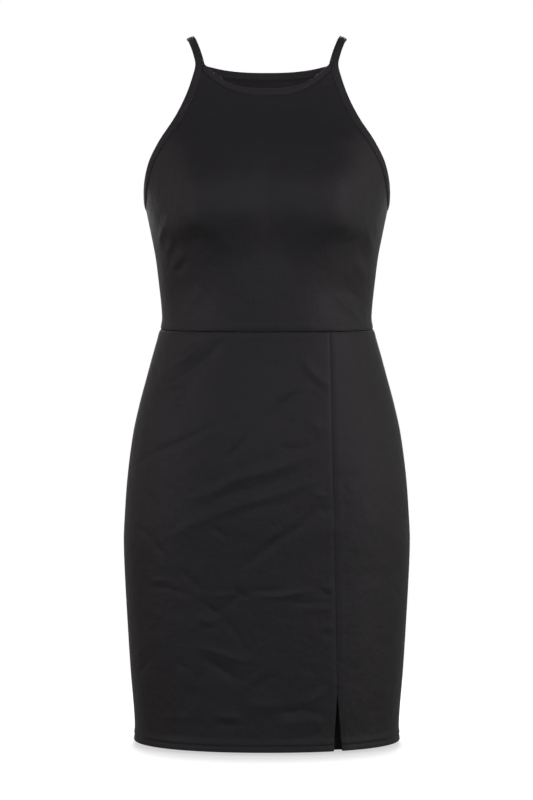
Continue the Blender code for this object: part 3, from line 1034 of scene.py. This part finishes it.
def rolled(distance):
    """How deep a turned edge lies, at so many millimetres from it."""
    inwards = np.clip(distance, 0, ROLL)
    return ROLL - np.sqrt(ROLL**2 - (ROLL - inwards) ** 2)


def tucked(distance):
    """How deep an edge lies that passes under a binding."""
    return 0.35 * bell(distance, 1.6)


def bodice_place(face):
    """Where the grid of a bodice panel lies, and the lines that it needs."""
    side_degrees, side_below, shares = even_rows(*bodice_side(face))
    centre, suddenness = NECK_SEAM[face][0], NECK_SEAM[face][3]
    underarm = ARMHOLE_TUCKS[face][1][-1]
    lines = across_lines(2 * 90 * float(girth_scale(250.0)), 2.5)

    def place(column, row):
        edge, edge_below = side_degrees[row], side_below[row]
        scale = girth_scale(edge_below)
        width = 2 * edge * scale
        from_left = lines[column, 0] * width + lines[column, 1]
        degrees = from_left / scale - edge
        rise = np.abs(x_at(degrees, edge_below) / x_at(edge, edge_below)) ** suddenness
        middle = BODICE_ENDS + (centre - BODICE_ENDS) * shares[row]
        below = middle + (edge_below - middle) * np.minimum(rise, 1)
        below = below - UNDER * shares[row]
        from_waist = BODICE_ENDS - below
        from_neck = np.abs(below - neck_height(NECK_SEAM, face, x_at(degrees, below)))
        from_side = np.minimum(from_left, width - from_left)
        bound = np.clip((underarm - edge_below) / 4, 0, 1)
        depth = lines[column, 2] * (1 - bound) + rolled(from_waist)
        depth = depth + np.maximum(tucked(from_side) * bound, tucked(from_neck))
        relief = seam_relief(from_side, below) * (1 - bound)
        relief = relief + seam_relief(from_waist, degrees * scale)
        points = cloth_at(around(face, degrees), below, relief - depth)
        return points, np.stack([degrees * scale, below], axis=-1)

    return len(lines), len(shares), place


columns, rows, place = bodice_place("front")
print("the bodice's front has", columns, "by", rows, "lines")

# %% [markdown]
# Behind each seam lies its allowance, the 10 mm of cloth outside the stitching, pressed
# open and lying flat against the panel. It shows where one looks in at the neck, the
# armholes or the hem. Folding it out of the panel's own grid would tangle the corners,
# where two folds cross, so it is a narrow grid of its own in the same piece.
#
# A real seam is pulled shut by its thread, and here a gap is left in its place. So of each
# two allowances one runs on across the gap and closes it: the front's at a side seam, the
# main part's at the front seam, and the bodice's at the back of the waist. Those of the
# side seams run down over the turned hem, and level ones stop short of upright ones.

# %% Allowances behind the seams
ALLOWANCE = 10.0
BEHIND = 2 * ROLL + 0.05
LIFT = 0.35                 # how far its outer edge waves away from the panel


def allowance_lines(first):
    """Lines across it. The first lies inside the panel's edge, or closes the seam's gap."""
    return np.array([first, 1.4, 3.6, 5.8, 8.0, ALLOWANCE])


def upright_allowance(edge, inwards, top, bottom, first=0.3, over_hem=0.0):
    """Beside a seam that runs down: edge gives its degrees at a height.

    Over the turned hem it lies over_hem further in, and its flat places stay beside the edge.
    """
    rows = max(round((bottom - top) / 4.0), 3) + 1
    lines = allowance_lines(first)

    def place(column, row):
        below = top + (bottom - top) * row / (rows - 1)
        degrees = edge(below) + inwards * lines[column] / girth_scale(below)
        lifted = LIFT * np.sin(below / 23) ** 2 * (lines[column] / ALLOWANCE) ** 2
        lifted = lifted + over_hem * eased(np.clip((below - (HEM - HEM_TURN - 10)) / 8, 0, 1))
        points = cloth_at(degrees, below, -BEHIND - lifted)
        way = np.where(np.abs(edge(below)) > 90, -inwards, inwards)
        across = girth_at(edge(below), below) + way * lines[column]
        return points, np.stack([across, below], axis=-1)

    return len(lines), rows, place, -1


def level_allowance(below_seam, upwards, start, stop, first=0.3):
    """Along a seam that runs round, from one place to another in degrees."""
    columns = max(round(abs(stop - start) * 2.6 / 5.0), 3) + 1
    lines = allowance_lines(first)

    def place(column, row):
        degrees = start + (stop - start) * column / (columns - 1)
        below = below_seam - upwards * lines[row]
        lifted = LIFT * np.sin(degrees / 8) ** 2 * (lines[row] / ALLOWANCE) ** 2
        points = cloth_at(degrees, below, -BEHIND - lifted)
        return points, np.stack([girth_at(degrees, below), below], axis=-1)

    return columns, len(lines), place, -1


print("an allowance lies", BEHIND, "mm behind the face of the cloth")

# %% Front and back of the bodice
CLOSING = -0.58             # where an allowance starts that closes a side seam's gap
CLOSING_WAIST = -1.25       # and one that closes the wider gap at the waist
CORNER = 4.3                # degrees that the upright allowance takes of the level one

# which way is inwards from its left, where its side and waist allowances start, where
# the side ones end
EDGES = {
    "front": (1, CLOSING, 0.3, BODICE_ENDS - 0.2),
    "back": (-1, 0.3, CLOSING_WAIST, BODICE_ENDS - CLOSING_WAIST),
}
for face, (inwards, first, waist_first, end) in EDGES.items():
    top = float(ARMHOLE_SEAMS[face][1][-1]) - 0.2
    left, right = around(face, -89.9), around(face, 89.9)
    start, stop = left + CORNER * inwards, right - CORNER * inwards
    cloth_piece(f"bodice_{face}_cloth", [
        bodice_place(face),
        upright_allowance(lambda below: left, inwards, top, end, first),
        upright_allowance(lambda below: right, -inwards, top, end, first),
        level_allowance(BODICE_ENDS, 1, start, stop, waist_first),
    ], KNIT)

# %% [markdown]
# ## The skirt
#
# The front of the skirt is cut in two: a wide main part, and a narrow part on the wearer's
# left. Their seam leans a little outwards on its way down, and 70 mm above the hem it stops
# and leaves a slit. The back is one part. All three hang from the waist seam and end in the
# same turned hem, so one function places them all, between two edges that it is given.

# %% The front seam and the slit
SEAM_AT_WAIST = 75.8
SEAM_AT_SLIT = 84.7
SLIT_TOP = 784.0
SLIT_LEFT = 80.2            # its two edges at the hem
SLIT_RIGHT = 90.4
BOX_TOP = 777.0
BOX_LEFT = 75.0             # the stitching round the slit
BOX_RIGHT = 91.0


def skirt_seam(below):
    """How far the front seam lies from the centre."""
    share = np.minimum((below - WAIST) / (SLIT_TOP - WAIST), 1)
    return SEAM_AT_WAIST + (SEAM_AT_SLIT - SEAM_AT_WAIST) * share


def slit_edge(below, at_hem):
    """An edge of the seam, which leans away from it below the slit's top."""
    side = math.copysign(SEAM / 2, at_hem - SEAM_AT_SLIT)
    share = np.maximum(below - SLIT_TOP, 0) / (HEM - SLIT_TOP)
    return skirt_seam(below) + side + (at_hem - SEAM_AT_SLIT) * share


def main_edge(below):
    return degrees_at(slit_edge(below, SLIT_LEFT), below)


def side_edge(below):
    return degrees_at(slit_edge(below, SLIT_RIGHT), below)


def box_lean(below):
    """How far the stitching round the slit leans outwards with its seam."""
    return (below - BOX_TOP) / (HEM - BOX_TOP)


def box_relief(x, below):
    """The stitched grooves that hold the slit's turned edges."""
    left = bell(x - BOX_LEFT - box_lean(below), 1.3)
    right = bell(x - BOX_RIGHT - box_lean(below), 1.3)
    upright = (left + right) * (below > BOX_TOP) * (below < HEM - 3)
    level = bell(below - BOX_TOP, 1.3) * (x > BOX_LEFT) * (x < BOX_RIGHT)
    return -0.25 * (upright + level)


print("the slit opens", round(SLIT_RIGHT - SLIT_LEFT, 1), "mm at the hem")


# %% A skirt panel
def skirt_place(left, right, cell, rolls=(90, 90)):
    """A panel between two edges, each given as degrees round at a height."""
    widest = float((right(600.0) - left(600.0)) * girth_scale(600.0))
    long = HEM - SKIRT_STARTS
    across, down = across_lines(widest, cell, *rolls), down_lines(long, cell)

    def place(column, row):
        from_top = down[row, 0] * long + down[row, 1]
        below = SKIRT_STARTS + from_top
        scale = girth_scale(below)
        start = left(below)
        width = (right(below) - start) * scale
        from_left = across[column, 0] * width + across[column, 1]
        degrees = start + from_left / scale
        relief = seam_relief(np.minimum(from_left, width - from_left), below)
        relief = relief + seam_relief(from_top, degrees * scale)
        relief = relief + hem_relief(HEM - below)
        front = np.abs(degrees) < 90
        relief = relief + front * box_relief(x_at(degrees, below), below)
        points = cloth_at(degrees, below, relief - across[column, 2] - down[row, 2])
        return points, np.stack([girth_at(degrees, below), below], axis=-1)

    return len(across), len(down), place


def side_seam(at, side):
    """The edge of a panel on one side (1 or -1) of the side seam at so many degrees."""
    return lambda below: at + side * half_gap(below)


top, end = SKIRT_STARTS + 0.5, HEM - 1.5
above_hem = HEM - HEM_TURN - 2
print("skirt allowances run from", top, "to", end)

# %% The front of the skirt
CLOSING_FRONT = -0.42       # where the main part's allowance starts at the front seam
UNDER_SEAM = 0.5            # where a level allowance starts
OVER_HEM = 1.0              # how much further in an allowance lies over the turned hem
BESIDE = 5.5                # degrees that the front seam's allowance takes of a level one
SLIT_ROLL = 42              # how far the slit's edges turn in

side, far_side = side_seam(-90, 1), side_seam(90, -1)
cloth_piece("skirt_front_main_cloth", [
    skirt_place(side, main_edge, 2.1, (90, SLIT_ROLL)),
    upright_allowance(side, 1, top, end, CLOSING, OVER_HEM),
    upright_allowance(main_edge, -1, top, SLIT_TOP - 3, CLOSING_FRONT),
    upright_allowance(main_edge, -1, SLIT_TOP - 2.5, above_hem),
    level_allowance(
        SKIRT_STARTS, -1, CORNER - 90, float(main_edge(SKIRT_STARTS)) - BESIDE, UNDER_SEAM
    ),
], KNIT)
cloth_piece("skirt_front_side_cloth", [
    skirt_place(side_edge, far_side, 2.1, (SLIT_ROLL, 90)),
    upright_allowance(side_edge, 1, top, above_hem),
    upright_allowance(far_side, -1, top, end, CLOSING, OVER_HEM),
    level_allowance(
        SKIRT_STARTS, -1, float(side_edge(SKIRT_STARTS)) + BESIDE, 90 - CORNER, UNDER_SEAM
    ),
], KNIT)

# %% The back of the skirt
side, far_side = side_seam(90, 1), side_seam(270, -1)
cloth_piece("skirt_back_cloth", [
    skirt_place(side, far_side, 2.5),
    upright_allowance(side, 1, top, end, 0.3, OVER_HEM),
    upright_allowance(far_side, -1, top, end, 0.3, OVER_HEM),
    level_allowance(SKIRT_STARTS, -1, 90 + CORNER, 270 - CORNER, UNDER_SEAM),
], KNIT)

# %% [markdown]
# Behind the slit lies an underlap, a small strip that keeps it closed to the eye. It is
# sewn to the allowances at both sides, sags inwards between them, and ends just above the
# hem.

# %% The slit's underlap
UNDERLAP_TOP = 772.0
UNDERLAP_BOTTOM = 852.6
UNDERLAP_HALF = 15.0
UNDERLAP_BEHIND = 2.5
UNDERLAP_SAG = 7.0


def underlap_place():
    across = across_lines(2 * UNDERLAP_HALF, 2.5)
    height = UNDERLAP_BOTTOM - UNDERLAP_TOP
    down = across_lines(height, 2.5)

    def place(column, row):
        below = UNDERLAP_TOP + down[row, 0] * height + down[row, 1]
        from_left = across[column, 0] * 2 * UNDERLAP_HALF + across[column, 1]
        x = SEAM_AT_SLIT - UNDERLAP_HALF + from_left
        sag = 1 - ((x - SEAM_AT_SLIT) / UNDERLAP_HALF) ** 2
        sag = UNDERLAP_SAG * sag * np.sin(math.pi * (down[row, 0] * 0.72 + 0.06))
        depth = UNDERLAP_BEHIND + sag + across[column, 2] + down[row, 2]
        points = cloth_at(degrees_at(x, below), below, -depth)
        return points, np.stack([x, below], axis=-1)

    return len(across), len(down), place


# the underlap takes the far darker knit, a painted shade that keeps the slit dark
cloth_piece("slit_underlap_cloth", [underlap_place()], SLIT_SHADE_KNIT)

# %% [markdown]
# ## The bindings
#
# A binding is a strip folded lengthwise over a raw edge and stitched near its seam. A bar
# with rounded corners has the same outline, but from above one sees into the fold, and the
# outer side swells between the fold and the stitching. So its section is drawn once as an
# open U: a turned edge, the groove of the stitching, the swelling, the fold, and the layer
# behind. The sheet follows it round each edge, and Solidify gives it its wall.

# %% The section of a folded strip
STRIP_WALL = 0.7
STRIP_STITCH = 2.85         # where the stitching's groove lies, from the middle
STRIP_GROOVE = 0.68         # and how far out the thread lies in it


def strip_section():
    """Across the strip, from the seam (+) to the fold (-), and outwards, in millimetres."""
    half = BINDING_WIDTH / 2
    roll = [(half - 1.1 + 1.1 * math.cos(a), -0.2 + 1.15 * math.sin(a))
            for a in np.radians([-12, 12, 36, 60, 84])]
    groove = [(3.35, 0.93), (3.1, 0.76), (STRIP_STITCH, 0.62), (2.6, 0.76), (2.3, 0.93)]
    swell = [(1.5, 1.05), (0.6, 1.10), (-0.6, 1.10), (-1.8, 1.05), (-2.6, 0.98)]
    fold = [(1.45 - half - 1.45 * math.cos(a), -0.45 + 1.38 * math.sin(a))
            for a in np.radians([84, 60, 30, 0, -30, -60, -84])]
    inner = [(-2.2, -1.85), (-0.6, -1.85), (1.2, -1.85), (2.9, -1.95), (half, -2.10)]
    return np.array(roll + groove + swell + fold + inner)


STRIP = strip_section()
STRIP_PATH = lengths_of(STRIP)
print("each strip is cut", round(float(STRIP_PATH[-1]), 1), "mm wide")


# %% The armhole bindings, which are also the straps
def armhole_loop():
    """The whole ring on the wearer's left: points, across, outwards, and lengths."""
    front, back = ARMHOLES["front"], ARMHOLES["back"]
    spots, across, out = (
        np.concatenate([front[part], back[part][-2:0:-1]]) for part in range(3)
    )
    return spots, across, out, lengths_of(np.concatenate([spots, spots[:1]]))


LOOP_SPOTS, LOOP_ACROSS, LOOP_OUT, LOOP_LENGTH = armhole_loop()


def ring_point(number, across, out):
    """A point of the ring, moved across the strip and outwards."""
    number = number % len(LOOP_SPOTS)
    moved = LOOP_ACROSS[number] * np.reshape(across, (-1, 1))
    return LOOP_SPOTS[number] + moved + LOOP_OUT[number] * np.reshape(out, (-1, 1))


def ring_place(side):
    """The strip round one armhole: 1 is the wearer's left, -1 the right."""
    def place(column, row):
        length = LOOP_LENGTH[column]
        waver = 0.05 * np.sin(length / 2.1 + 2 * np.sin(length / 23))
        points = ring_point(column, STRIP[row, 0], STRIP[row, 1] + waver)
        return points * (side, 1, 1), np.stack([STRIP_PATH[row], length], axis=-1)

    return len(LOOP_SPOTS) + 1, len(STRIP), place, 1, True


for name, side in (("left", 1), ("right", -1)):
    cloth_piece(f"armhole_binding_{name}_strip", [ring_place(side)], BINDING, STRIP_WALL)

# %% The neck bindings
NECK_COLUMNS = 64


def neck_level(face, x, share):
    """Between the neck's edge, at 0, and its seam, at 1."""
    edge, seam = neck_height(NECK_EDGE, face, x), neck_height(NECK_SEAM, face, x)
    return edge + (seam - edge) * share


def neck_end(face, share):
    """Degrees where a line of the strip meets the armhole binding."""
    below = np.full_like(share, NECK_EDGE[face][1])
    for _ in range(12):
        below = neck_level(face, x_at(armhole_seam_at(face, below), below), share)
    return armhole_seam_at(face, below)


def neck_point(face, along, share, off):
    """A point of the neck, at -1 to 1 along it."""
    degrees = neck_end(face, share) * along
    below = neck_level(face, x_at(degrees, NECK_EDGE[face][1]), share)
    return cloth_at(around(face, degrees), below, off), degrees * girth_scale(below)


def neck_place(face):
    shares = (STRIP[:, 0] + BINDING_WIDTH / 2) / BINDING_WIDTH

    def place(column, row):
        along = 2 * column / (NECK_COLUMNS - 1) - 1
        points, length = neck_point(face, along, shares[row], STRIP[row, 1])
        return points, np.stack([STRIP_PATH[row], length], axis=-1)

    return NECK_COLUMNS, len(STRIP), place


for face in ("front", "back"):
    cloth_piece(f"neck_binding_{face}_strip", [neck_place(face)], BINDING, STRIP_WALL)

# %% [markdown]
# ## Stitches
#
# A sewing machine leaves short stitches that dip into the cloth at both ends. As a texture
# they would be flat and would smear on a curve. Each one here is a small stretched ball,
# half sunk in its groove, and joined with the others of its seam into one mesh. They are
# black on black, so they show mostly as a broken line of tiny highlights.

# %% Stitches along a line
STITCH = 2.7
STITCH_GAP = 0.5
THREAD_WIDE = 0.36


def spaced(points, out, pitch):
    """Places at even steps along a line, with its direction and its way out."""
    length = lengths_of(points)
    at = np.arange(pitch / 2, length[-1], pitch)

    def read(values, where):
        return np.stack([np.interp(where, length, values[:, k]) for k in range(3)], axis=-1)

    along = read(points, at + 0.5) - read(points, at - 0.5)
    return read(points, at), unit(along), unit(read(out, at))


def sew(name, lines):
    """One mesh of stitches along lines, each given as points and ways out."""
    bm = bmesh.new()
    count = 0
    for points, out in lines:
        for spot, along, up in zip(*spaced(points, out, STITCH + STITCH_GAP)):
            sideways = np.cross(up, along)
            turn = Matrix((sideways, up, along)).transposed().to_4x4()
            size = Matrix.Diagonal((THREAD_WIDE / 2, THREAD_WIDE / 2, STITCH / 2, 1.0 / MM))
            matrix = Matrix.Translation(spot * MM) @ turn @ (size * MM)
            bmesh.ops.create_uvsphere(bm, u_segments=6, v_segments=4, radius=1.0, matrix=matrix)
            count += 1
    pieces[name] = mesh_object(name, bm, THREAD)
    pieces[name].data.shade_smooth()
    print(f"{name}: {count} stitches")


def cloth_line(degrees, below, lift):
    """A line on the cloth that stitches can follow."""
    degrees, below = np.broadcast_arrays(np.asarray(degrees, float), np.asarray(below, float))
    return cloth_at(degrees, below, lift), outwards(degrees, down_to(below))


# %% The stitches of the hem and the slit
hem_line = HEM - STITCH_UP
lift = float(hem_relief(STITCH_UP)) + 0.06
slit_left = float(main_edge(hem_line)) - 0.6
slit_right = float(side_edge(hem_line)) + 0.6
sew("hem_stitches", [
    cloth_line(np.linspace(start, stop, count), hem_line, lift)
    for start, stop, count in (
        (-89.6, slit_left, 200), (slit_right, 89.6, 100), (90.4, 269.6, 300)
    )
])

heights = np.linspace(BOX_TOP, HEM - 8.5, 60)
lean = box_lean(heights)
across = np.linspace(BOX_LEFT, BOX_RIGHT, 12)
sew("slit_stitches", [
    cloth_line(degrees_at(BOX_LEFT + lean, heights), heights, -0.10),
    cloth_line(degrees_at(BOX_RIGHT + lean, heights), heights, -0.10),
    cloth_line(degrees_at(across, BOX_TOP), BOX_TOP, -0.12),
])


# %% The stitches of the bindings
def neck_line(face):
    share = np.full(80, (STRIP_STITCH + BINDING_WIDTH / 2) / BINDING_WIDTH)
    along = np.linspace(-0.99, 0.99, 80)
    points = neck_point(face, along, share, STRIP_GROOVE)[0]
    lifted = neck_point(face, along, share, STRIP_GROOVE + 1)[0]
    return points, lifted - points


def ring_line(side):
    number = np.arange(len(LOOP_SPOTS) + 1)
    points = ring_point(number, STRIP_STITCH, STRIP_GROOVE)
    lifted = ring_point(number, STRIP_STITCH, STRIP_GROOVE + 1)
    mirrored = np.array([side, 1, 1])
    return points * mirrored, (lifted - points) * mirrored


sew("neck_stitches", [neck_line("front"), neck_line("back")])
sew("armhole_stitches", [ring_line(1), ring_line(-1)])

# %% [markdown]
# ## Floor, light and camera
#
# The dress stands just above a pale floor, before a plain white dome that keeps the
# background even. Both glow of themselves. A lit floor would need so much light that the
# black cloth turned grey, so the floor's own finish carries most of the soft shadow: it is
# dimmer near the hem and fades into the white further out.

# %% Plain finishes for the stage
HEM_WIDE = 0.161            # the hem's half width and half depth, in metres
HEM_DEEP = 0.105
SHADOW = 0.075              # how far the soft shadow reaches in front of it


def grey(value):
    return (value, value, value, 1.0)


def stage_surface(finish, colour, glow):
    """A matt surface that glows in a colour of its own."""
    return finish.surface({
        "Base Color": colour,
        "Roughness": 0.9,
        "Specular IOR Level": 0.0,
        "Emission Color": glow,
        "Emission Strength": 1.0,
    })


def floor_finish():
    """A painted shadow: the glow is dimmer beside the hem, and white further out."""
    finish = Finish("pale floor")
    place = finish.node("ShaderNodeTexCoord", output="Object")
    x, y = (
        finish.node("ShaderNodeSeparateXYZ", {}, {"Vector": place}, output=axis) for axis in "XY"
    )

    def ramp(value, low, high):
        sockets = {"Value": value, "From Min": low, "From Max": high}
        return finish.node("ShaderNodeMapRange", {"interpolation_type": "SMOOTHSTEP"}, sockets)

    reach = (x * x + y * y) ** 0.5
    wide = 1.0 - x * x * (1 / HEM_WIDE**2)
    outline = wide.maths("MAXIMUM", wide, 0.0) ** 0.5 * HEM_DEEP
    before = ramp((y * y) ** 0.5 - outline, 0.0, SHADOW)
    beside = ramp((x * x) ** 0.5, HEM_WIDE - 0.004, HEM_WIDE + 0.012)
    clear = before.maths("MAXIMUM", before, beside)
    away = ramp(reach, 0.30, 0.70)
    # painted shadow: the floor glows dimmer beside the hem
    near = finish.mix(clear, grey(0.58), grey(0.88))
    colour = finish.mix(away, grey(0.30), grey(0.0))
    return stage_surface(finish, colour, finish.mix(away, near, grey(1.0)))


print("the soft shadow reaches", SHADOW, "m")


# %% The floor and the backdrop
def stage_piece(name, bm, finish):
    piece = mesh_object(name, bm, finish)
    return piece


FLOOR = cad_low.z - 0.004
bm = bmesh.new()
bmesh.ops.create_circle(
    bm, cap_ends=True, segments=96, radius=0.75, matrix=Matrix.Translation((0, 0, FLOOR))
)
floor = stage_piece("floor", bm, floor_finish())
floor.visible_diffuse = False
floor.visible_glossy = False

bm = bmesh.new()
bmesh.ops.create_uvsphere(bm, u_segments=48, v_segments=24, radius=12.0)
bmesh.ops.reverse_faces(bm, faces=bm.faces)
white = stage_surface(Finish("white backdrop"), grey(0.0), grey(1.0))
dome = stage_piece("backdrop_dome", bm, white)
dome.data.shade_smooth()
dome.visible_diffuse = False
dome.visible_glossy = False
dome.visible_transmission = False
dome.visible_shadow = False
print("floor at", round(FLOOR, 4), "m")


# %% [markdown]
# A black cloth shows its form by its highlights alone, so the light matters more than its
# colour. One soft box would leave the flanks as black as the hollow. So the boxes stand
# all round at one height: weak ones in front, strong ones at the sides, rims that graze the
# flanks, and a pair behind for the hidden side. Small ones nearer by lift the bodice and
# the shoulders, and a faint board behind each side of the bust draws its edge.

# %% Lights
def soft_box(name, place, aim, width, height, watts):
    data = bpy.data.lights.new(name, "AREA")
    data.shape = "RECTANGLE"
    data.size, data.size_y = width, height
    data.energy = watts
    light = new_object(name, data)
    light.location = place
    light.rotation_euler = (Vector(aim) - Vector(place)).to_track_quat("-Z", "Y").to_euler()
    return light


MIDDLE = Vector((0.0, 0.0, -0.43))
NECK = Vector((0.0, 0.0, -0.22))
AWAY = 2.4                  # metres from the middle of the dress to the boxes round it

# degrees round from the front, to the wearer's left, and degrees up; watts; tint
BOXES = {
    "front": (0, 8, 10.3, (0.89, 0.90, 1.0)),
    "left of the front": (28, 8, 3.8, (0.99, 0.90, 1.0)),
    "right of the front": (-28, 8, 3.5, (0.85, 0.82, 1.0)),
    "left side": (60, 8, 35.5, (1.0, 0.96, 0.99)),
    "right side": (-60, 8, 25.0, (0.99, 0.94, 1.0)),
    "left rim": (103, 8, 8.0, (1.0, 0.97, 0.94)),
    "behind on the left": (176, 20, 44.0, (1.0, 1.0, 1.0)),
    "right rim": (-103, 8, 5.6, (1.0, 0.85, 0.80)),
    "behind on the right": (-176, 20, 38.0, (1.0, 1.0, 1.0)),
}
for name, (azimuth, elevation, watts, tint) in BOXES.items():
    a, e = math.radians(azimuth), math.radians(elevation)
    way = Vector((math.sin(a) * math.cos(e), -math.cos(a) * math.cos(e), math.sin(e)))
    light = soft_box(name, MIDDLE + way * AWAY, MIDDLE, 1.0, 1.0, watts)
    light.data.color = tint

# metres from the neck, and watts
NEAR_BOXES = {
    "behind the right shoulder": ((-0.74, 0.62, 0.87), 1.4),
    "front of the bodice": ((0.0, -1.27, 0.27), 2.0),
    "over the shoulders": ((0.0, -0.40, 1.24), 1.25),
}
for name, (place, watts) in NEAR_BOXES.items():
    soft_box(name, NECK + Vector(place), NECK, 0.6, 0.6, watts)

for side, watts in ((-1, 0.08), (1, 0.045)):
    flank = Vector((side * 0.14, 0.01, -0.205))
    place = flank + Vector((side * 0.11, 0.12, 0.02))
    board = soft_box("board behind the bust", place, flank, 0.08, 0.14, watts)
    board.visible_camera = False

# %% The world
world = bpy.data.worlds.new("studio")
world.use_nodes = True
sky = world.node_tree.nodes["Background"]
sky.inputs["Color"].default_value = (0.98, 1.0, 0.70, 1.0)
sky.inputs["Strength"].default_value = 0.10
bpy.context.scene.world = world
bpy.context.scene.view_settings.view_transform = "Standard"
bpy.context.scene.view_settings.look = "None"
print("world:", world.name)

# %% The camera
lens = bpy.data.cameras.new("portrait lens")
lens.lens = 148.0
lens.sensor_fit = "VERTICAL"
lens.sensor_height = 36.0
lens.sensor_width = 36.0
lens.clip_end = 60.0
camera = new_object("camera", lens)
camera.location = (-0.0004, -4.0, -0.1862)
sight = Vector((-0.0004, 0.0, -0.4352)) - camera.location
camera.rotation_euler = sight.to_track_quat("-Z", "Y").to_euler()
bpy.context.scene.camera = camera
pitch = math.degrees(-math.asin(sight.normalized().z))
print("the camera looks down by", round(pitch, 2), "degrees")

# %% [markdown]
# ## What each piece stands for
#
# Every new piece rides on the dress's one body. The cloth pieces replace the imported
# walls, and the size that each was cut to is printed. A stretch dress is cut smaller than it
# is worn: these panels are cut to 95% of the width that they reach on the figure. Each is
# longer than it looks, by its turned hem or by what its two ends lose in a seam, a binding
# or a lap.

# %% Riding, replacing, and the sizes as cut
CUT = 0.95


def flat_size(piece):
    """A panel's width, length and area as it was cut, in metres."""
    layer = piece.data.uv_layers["Cloth"].uv
    places = np.array([corner.vector for corner in layer])
    width, length = places.max(axis=0) - places.min(axis=0)
    area = sum(face.area for face in piece.data.polygons)
    return float(width) * CUT, float(length) + HEM_TURN * MM, area * CUT


def declare(name, node, slot):
    piece = pieces[name]
    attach(piece, "root")
    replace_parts(piece, node)
    width, length, area = flat_size(piece)
    if slot == "binding":
        width = float(STRIP_PATH[-1]) * MM
    area = min(area, width * length)
    print(f"{name}: cut {width:.3f} by {length:.3f} m, {area:.4f} square metres")


straps = ["armhole_binding_left_strip", "armhole_binding_right_strip"]
for strap in straps:
    declare(strap, strap.removesuffix("_strip"), "binding")
for face in ("front", "back"):
    declare(f"neck_binding_{face}_strip", f"neck_binding_{face}", "binding")
    declare(f"bodice_{face}_cloth", f"bodice_{face}", "cloth")
for node, holder in (
    ("skirt_front_main", "bodice_front_cloth"),
    ("skirt_front_side", "bodice_front_cloth"),
    ("skirt_back", "bodice_back_cloth"),
):
    declare(f"{node}_cloth", node, "cloth")
declare("slit_underlap_cloth", "slit_underlap", "cloth")

for name in ("hem_stitches", "slit_stitches", "neck_stitches", "armhole_stitches"):
    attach(pieces[name], "root")

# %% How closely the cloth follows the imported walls
for name, piece in pieces.items():
    for node in piece.get("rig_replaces", []):
        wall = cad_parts[node].data
        corners = [vert.co for vert in wall.vertices]
        tree = BVHTree.FromPolygons(corners, [face.vertices for face in wall.polygons])
        gaps = [tree.find_nearest(vert.co)[3] for vert in list(piece.data.vertices)[::7]]
        print(f"{name} lies within {max(gaps) / MM:.1f} mm of {node}")

# %% The finished size
triangles = 0
graph = bpy.context.evaluated_depsgraph_get()
for name, piece in pieces.items():
    mesh = piece.evaluated_get(graph).to_mesh()
    mesh.calc_loop_triangles()
    print(f"{name}: {len(mesh.loop_triangles)} triangles")
    triangles += len(mesh.loop_triangles)
print("triangles in all:", triangles)
